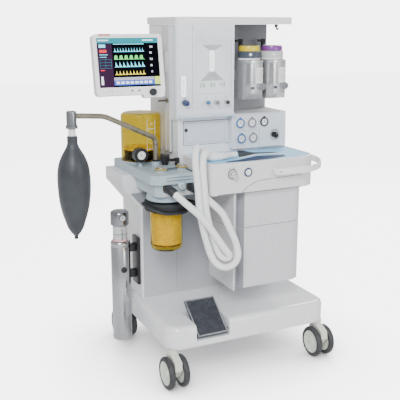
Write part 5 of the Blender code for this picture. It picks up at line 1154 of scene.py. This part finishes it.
def canister():
    """Amber canister filled with granules, and the clamp that holds it."""
    cx, cy = CANISTER
    r, wall, low, high = 0.0625, 0.003, 0.491, 0.682
    shell = [(r, high), (r, low + 0.020), (r - 0.002, low + 0.011), (r - 0.006, low + 0.0055),
             (r - 0.016, low), (0, low), (0, low + wall), (r - 0.017, low + wall),
             (r - wall - 0.004, low + 0.009), (r - wall, low + 0.021), (r - wall, high)]
    add("canister_shell", lathe_open(shell, (cx, cy, 0), 96), "amber", "absorbent_canister",
        replaces=["absorbent_canister"])
    fill = [(0, low + 0.026), (0.0565, low + 0.026), (0.0588, low + 0.028), (0.0590, 0.640),
            (0.0575, 0.642), (0, 0.642)]
    add("canister_granules", lathe(fill, (cx, cy, 0), "Z", 96), "granules", "absorbent_canister")
    band = merge(lathe([(0.0580, low + 0.0240), (0.0592, low + 0.0240), (0.0592, low + 0.0285),
                        (0.0580, low + 0.0285)], (cx, cy, 0), "Z", 96),
                 lathe([(0, low + 0.0205), (0.0575, low + 0.0205), (0.0575, low + 0.0236),
                        (0, low + 0.0236)], (cx, cy, 0), "Z", 96))
    add("canister_grid", band, "amber_edge", "absorbent_canister")
    # painted reflection: two thin dark amber lines stand for dark vertical reflection streaks in the
    # canister
    ribs_and_streaks = [tube([Vector((cx + 0.0622 * cos(radians(a)), cy + 0.0622 * sin(radians(a)),
                          z)) for z in (0.521, 0.648)], 0.0003, 8) for a in (200, 340)]
    add("canister_reflection_streaks", merge(*ribs_and_streaks), "amber_edge", "absorbent_canister")
    collar = [(r + 0.0016, 0.6502), (0.0795, 0.6502), (0.0820, 0.6510), (0.0836, 0.6530), (0.0840, 0.6560),
              (0.0840, 0.6660), (0.0828, 0.6672), (0.0828, 0.6700), (0.0840, 0.6712), (0.0840, 0.6810),
              (0.0834, 0.6830), (0.0815, 0.6840), (r + 0.0016, 0.6840)]
    add("clamp_ring", lathe(collar, (cx, cy, 0), "Z", 96), "rubber", "canister_clamp",
        replaces=["canister_clamp"])
    bail = [(cx - 0.078, cy + 0.010, 0.672), (cx - 0.100, cy - 0.004, 0.684),
            (cx - 0.085, cy - 0.050, 0.668), (cx - 0.040, cy - 0.086, 0.652),
            (cx + 0.030, cy - 0.090, 0.650), (cx + 0.085, cy - 0.055, 0.660),
            (cx + 0.112, cy - 0.022, 0.672), (cx + 0.080, cy + 0.002, 0.672)]
    add("clamp_bail", tube(rounded_path(bail, 0.02, 8), 0.0062, 20), "rubber", "canister_clamp")


def bag_arm():
    """Bent tube, its head and collar, and the breathing bag that hangs from it."""
    low, high, rise = TRAY_TOP - 0.019, 1.006, 0.905
    path = rounded_path([(-0.268, 0.317, low), (-0.268, 0.317, rise), (-0.485, 0.279, high),
                         (-0.607, 0.252, 1.017)], 0.020, 12)
    add("bag_arm_tube", tube(path, 0.0099, 32), "arm", "bag_arm", replaces=["bag_arm"])
    nut = fluted(0.0158, 0.0008, 16, TRAY_TOP + 0.0142, TRAY_TOP + 0.0205, (-0.268, 0.317, 0), "Z", 0.001)
    add("bag_arm_nut", nut, "black", "bag_arm")
    bx, by = BAG
    head = [(0, 0.9725), (0.0205, 0.9725), (0.0214, 0.9735), (0.0214, 0.9830), (0.0205, 0.9840),
            (0.0180, 0.9852), (0.0180, 1.0290), (0.0172, 1.0330), (0.0150, 1.0348), (0, 1.0350)]
    add("bag_arm_head", lathe(head, (bx, by, 0), "Z", 56), "dark_steel", "bag_arm")
    collar = lathe([(0, 0.9454), (0.0125, 0.9454), (0.0134, 0.9462), (0.0134, 0.9600), (0.0125, 0.9610),
                    (0.0125, 0.9724), (0, 0.9724)], (bx, by, 0), "Z", 48)
    add("bag_arm_collar", collar, "white", "bag_arm")
    bottom, r = 0.560, 0.0625
    shape = [(0.0066, 0.0005), (0.0070, 0.0020), (0.0068, 0.010), (0.0105, 0.0165), (0.0190, 0.0270),
             (0.0300, 0.0450), (0.0388, 0.0700), (0.0478, 0.0980), (0.0550, 0.1300), (0.0598, 0.1650),
             (0.0622, 0.2050), (0.0618, 0.2350), (0.0590, 0.2640), (0.0528, 0.2900), (0.0440, 0.3110),
             (0.0335, 0.3290), (0.0250, 0.3430), (0.0200, 0.3540), (0.0186, 0.3650), (0.0184, 0.3840)]
    fine = smooth_path([(a, 0, b) for a, b in shape], 5)
    profile = [(0, bottom + 0.0004)] + [(min(p.x, r - 0.0002), bottom + p.z)
                                        for p in fine] + [(0, bottom + 0.3845)]
    bag = lathe(profile, (bx, by, 0), "Z", 88)
    for vertex in bag.verts:
        out = Vector((vertex.co.x - bx, vertex.co.y - by))
        if out.length < 0.021:
            continue
        angle, height = out.angle_signed(Vector((0, 1))), vertex.co.z - bottom
        fold = (0.012 * cos(2 * angle + 0.5) + 0.006 * cos(5 * angle + 14 * height)
                + 0.004 * sin(9 * angle - 40 * height))
        share = 1 - 0.018 + fold * min(1, (out.length - 0.021) / 0.02)
        share = min(share, (r - 0.0002) / out.length)
        vertex.co.x, vertex.co.y = bx + out.x * share, by + out.y * share
    add("bag_body", bag, "bag", "bag_arm", replaces=["breathing_bag"], sharp=60)
    cuff = [ring(0.0180, 0.0192, bottom + z, bottom + z + 0.0022, (bx, by, 0)) for z in (0.3680, 0.3780)]
    add("bag_cuff", merge(*cuff), "bag", "bag_arm")
    nozzle = ring(0.0060, 0.0078, bottom + 0.0040, bottom + 0.0075, (bx, by, 0))
    add("bag_tail_bead", nozzle, "black", "bag_arm")


def absorber_knobs():
    """Pressure-limiting valve and bag/ventilator lever on the tray."""
    low = TRAY_TOP + 0.0003
    ax, ay = -0.236, 0.300
    valve = merge(fluted(0.0180, 0.0012, 18, low + 0.0120, low + 0.0415, (ax, ay, 0), "Z", 0.0035),
                  disc(0.0128, low, low + 0.0122, (ax, ay, 0), "Z", 0.0008),
                  disc(0.0039, TRAY_TOP - 0.0112, low + 0.001, (ax, ay, 0), "Z", segments=20))
    add("limiting_valve_knob", valve, "black", "pressure_limiting_valve",
        replaces=["pressure_limiting_valve"])
    add("limiting_valve_mark", slab((ax - 0.0006, ay - 0.0135, low + 0.0412),
                                    (ax + 0.0006, ay - 0.004, low + 0.0419)), "white",
        "pressure_limiting_valve")
    lx, ly = -0.200, 0.262
    lever = merge(disc(0.0088, low, low + 0.0318, (lx, ly, 0), "Z", 0.0020),
                  slab((lx - 0.0318, ly - 0.0066, low + 0.0185), (lx + 0.006, ly + 0.0066, low + 0.0305),
                       0.0058, "Z", 0.0015), disc(0.0039, TRAY_TOP - 0.0112, low + 0.001, (lx, ly, 0), "Z",
                                                  segments=20))
    add("changeover_lever", lever, "black", "bag_ventilator_lever", replaces=["bag_ventilator_lever"])
    add("changeover_arrow", slab((lx - 0.0285, ly - 0.0009, low + 0.0302),
                                 (lx - 0.014, ly + 0.0009, low + 0.0309)), "white", "bag_ventilator_lever")


# ---------------------------------------------------------------- hoses
HOSE = 0.026                    # outer diameter over the ribs of a hose with 22 mm connectors
AHEAD = Vector((0.42, -0.62, -0.48)).normalized()
REACH = 0.021                   # how far an elbow runs past its bend
LEAD = 0.046                    # straight run of a hose at each end
LIMBS, Y_LEVEL = (0.100, 0.136), 0.853              # y of the Y-piece's two limbs, and their height


def corrugated(path, pitch=0.0040, depth=0.0011, cuff=0.030):
    """A hose with round ribs and a smooth cuff at each end."""
    total = length_of(path)
    path = spaced(path, int(total / pitch) * 6)

    def radius(share):
        place = share * total
        edge = min(place, total - place)
        fade = min(1, max(0, (edge - cuff) / 0.004))
        return HOSE / 2 - depth * fade * (0.5 - 0.5 * cos(tau * place / pitch))

    return path, tube(path, radius, 20)


def hoses():
    """The two breathing hoses, each from its black elbow to a limb of the Y-piece."""
    limb_a, limb_b = (Vector((-0.0895, y, Y_LEVEL)) for y in LIMBS)
    back = Vector((-LEAD, 0, 0.001))
    exhale = [(-0.234, -0.022, 0.666), (-0.188, -0.026, 0.606), (-0.142, -0.024, 0.540),
              (-0.116, -0.018, 0.504), (-0.126, -0.004, 0.490), (-0.147, 0.006, 0.512),
              (-0.170, 0.013, 0.580), (-0.193, 0.016, 0.670), (-0.201, 0.017, 0.760),
              (-0.196, 0.040, 0.840), (-0.172, 0.072, 0.876), limb_a + back, limb_a]
    inhale = [(-0.148, -0.020, 0.670), (-0.120, -0.029, 0.610), (-0.096, -0.030, 0.556),
              (-0.084, -0.028, 0.504), (-0.097, -0.017, 0.466), (-0.134, 0.000, 0.455),
              (-0.172, 0.010, 0.494), (-0.200, 0.013, 0.580), (-0.220, 0.013, 0.670),
              (-0.228, 0.014, 0.760), (-0.221, 0.050, 0.848), (-0.194, 0.098, 0.891),
              (-0.164, 0.126, 0.880), limb_b + back, limb_b]
    wye = y_piece()
    for name, route, length in (("exhale", exhale, 0.88), ("inhale", inhale, 1.02)):
        x, z = PORTS[name], PORT_HEIGHT
        bend = Vector((x, PORT - 0.026, z))
        elbow = rounded_path([(x, PORT - 0.0003, z), bend, bend + AHEAD * REACH], 0.018, 10)
        made = merge(tube(elbow, 0.0168, 28), ring(0.0120, 0.0170, PORT - 0.0075, PORT - 0.0005, (x, 0, z),
                                                   "Y"))
        add(name + "_elbow_body", made, "rubber", replaces=[name + "_elbow"])
        start = bend + AHEAD * (REACH + 0.0009)
        points = smooth_path([start, start + AHEAD * LEAD] + route, 24)
        path, skin = corrugated(points)
        piece = add(name + "_hose_skin", skin, "hose", replaces=[name + "_hose"], sharp=80)


def y_piece():
    """The hoses' Y-piece, which lies on the worktop."""
    x, y, z = -0.060, 0.118, Y_LEVEL
    limbs = [tube(rounded_path([(-0.088, ly, z), (-0.070, ly, z), (x + 0.012, y, z)], 0.012, 8), 0.0094, 28)
             for ly in LIMBS]
    collars = [ring(0.0080, 0.0094, -0.0850, -0.0790, (0, ly, z), "X") for ly in LIMBS]
    stem = [tube([Vector((x, y, z)), Vector((x + 0.045, y + 0.004, z))], 0.0100, 28),
            tube([Vector((x + 0.030, y + 0.0028, z)), Vector((x + 0.0445, y + 0.004, z))], 0.0104, 28)]
    hub = lathe([(0, -0.0118), (0.006, -0.0108), (0.0104, -0.006), (0.0118, 0), (0.0104, 0.006),
                 (0.006, 0.0108), (0, 0.0118)], (x + 0.010, y, z), "Z", 32)
    return add("y_piece_body", merge(*limbs, *collars, *stem, hub), "hose", replaces=["y_piece"])


# ---------------------------------------------------------------- waste gas receiver
def waste_gas():
    """Steel receiver on its bracket, with sight glass, head, knob and dial."""
    x, y, r, low = -0.402, 0.380, 0.039, 0.070
    body = [(0, low), (r - 0.004, low), (r - 0.001, low + 0.0012), (r, low + 0.004), (r, 0.466),
            (r - 0.0010, 0.4675), (r - 0.0010, 0.4705), (r, 0.472), (r, 0.483), (r - 0.001, 0.487),
            (r - 0.004, 0.490), (0, 0.490)]
    add("receiver_body", lathe(body, (x, y, 0), "Z", 96), "steel",
        replaces=["waste_gas_receiver"])
    inner = -0.3283
    bracket = merge(slab((inner - 0.0118, y - 0.030, 0.300), (inner, y + 0.030, 0.500), 0.002, "Y", 0.0006),
                    slab((x + 0.0200, y - 0.014, 0.330), (inner - 0.010, y + 0.014, 0.360), soft=0.0015),
                    slab((x + 0.0200, y - 0.014, 0.440), (inner - 0.010, y + 0.014, 0.470), soft=0.0015))
    add("receiver_bracket", bracket, "black")
    knob = fluted(0.0125, 0.0007, 16, -(y - r + 0.006), -(y - r - 0.0038), (x, 0, 0.376), "Y", 0.0015)
    add("receiver_knob", knob, "black")
    sight = lathe([(0, 0.4904), (0.0285, 0.4904), (0.0290, 0.4912), (0.0290, 0.5560), (0, 0.5560)],
                  (x, y, 0), "Z", 72)
    add("receiver_sight", sight, "light_grey", replaces=["receiver_head"])
    lines = merge(ring(0.0280, 0.0293, 0.5200, 0.5222, (x, y, 0), "Z", 72),
                  slab((x - 0.0030, y - 0.0296, 0.4990), (x + 0.0004, y - 0.0280, 0.5460)))
    add("receiver_lines", lines, "slate")
    add("receiver_pink_ring", ring(0.0280, 0.0305, 0.4906, 0.4990, (x, y, 0), "Z", 72), "pink")
    top = 0.614
    head = [(0, 0.5562), (0.0345, 0.5562), (0.0366, 0.5585), (0.0370, 0.5610), (0.0370, top - 0.010),
            (0.0362, top - 0.0065), (0.0340, top - 0.0030), (0.0300, top - 0.0005), (0, top)]
    add("receiver_cap", lathe(head, (x, y, 0), "Z", 72), "dark_steel")
    dial = disc(0.0130, y - 0.0372, y - 0.0330, (x, 0, 0.590), "Y", 0.0004)
    add("receiver_dial", dial, "light_grey")
    dark = merge(ring(0.0118, 0.0134, y - 0.0375, y - 0.0340, (x, 0, 0.590), "Y"),
                 slab((x - 0.0008, y - 0.0375, 0.590), (x + 0.0008, y - 0.0370, 0.600)))
    add("receiver_dial_mark", dark, "black")


camera()
studio()
carried_over()
hoses()
castors()
brake_pedal()
drawer_recess()
apron()
mat_hollow_shade()
vaporizer_bay()
door_details()
flow_panel()
flow_knobs()
gauges()
vaporizers()
monitor()
absorber_details()
check_valves()
bellows_unit()
canister()
bag_arm()
absorber_knobs()
waste_gas()
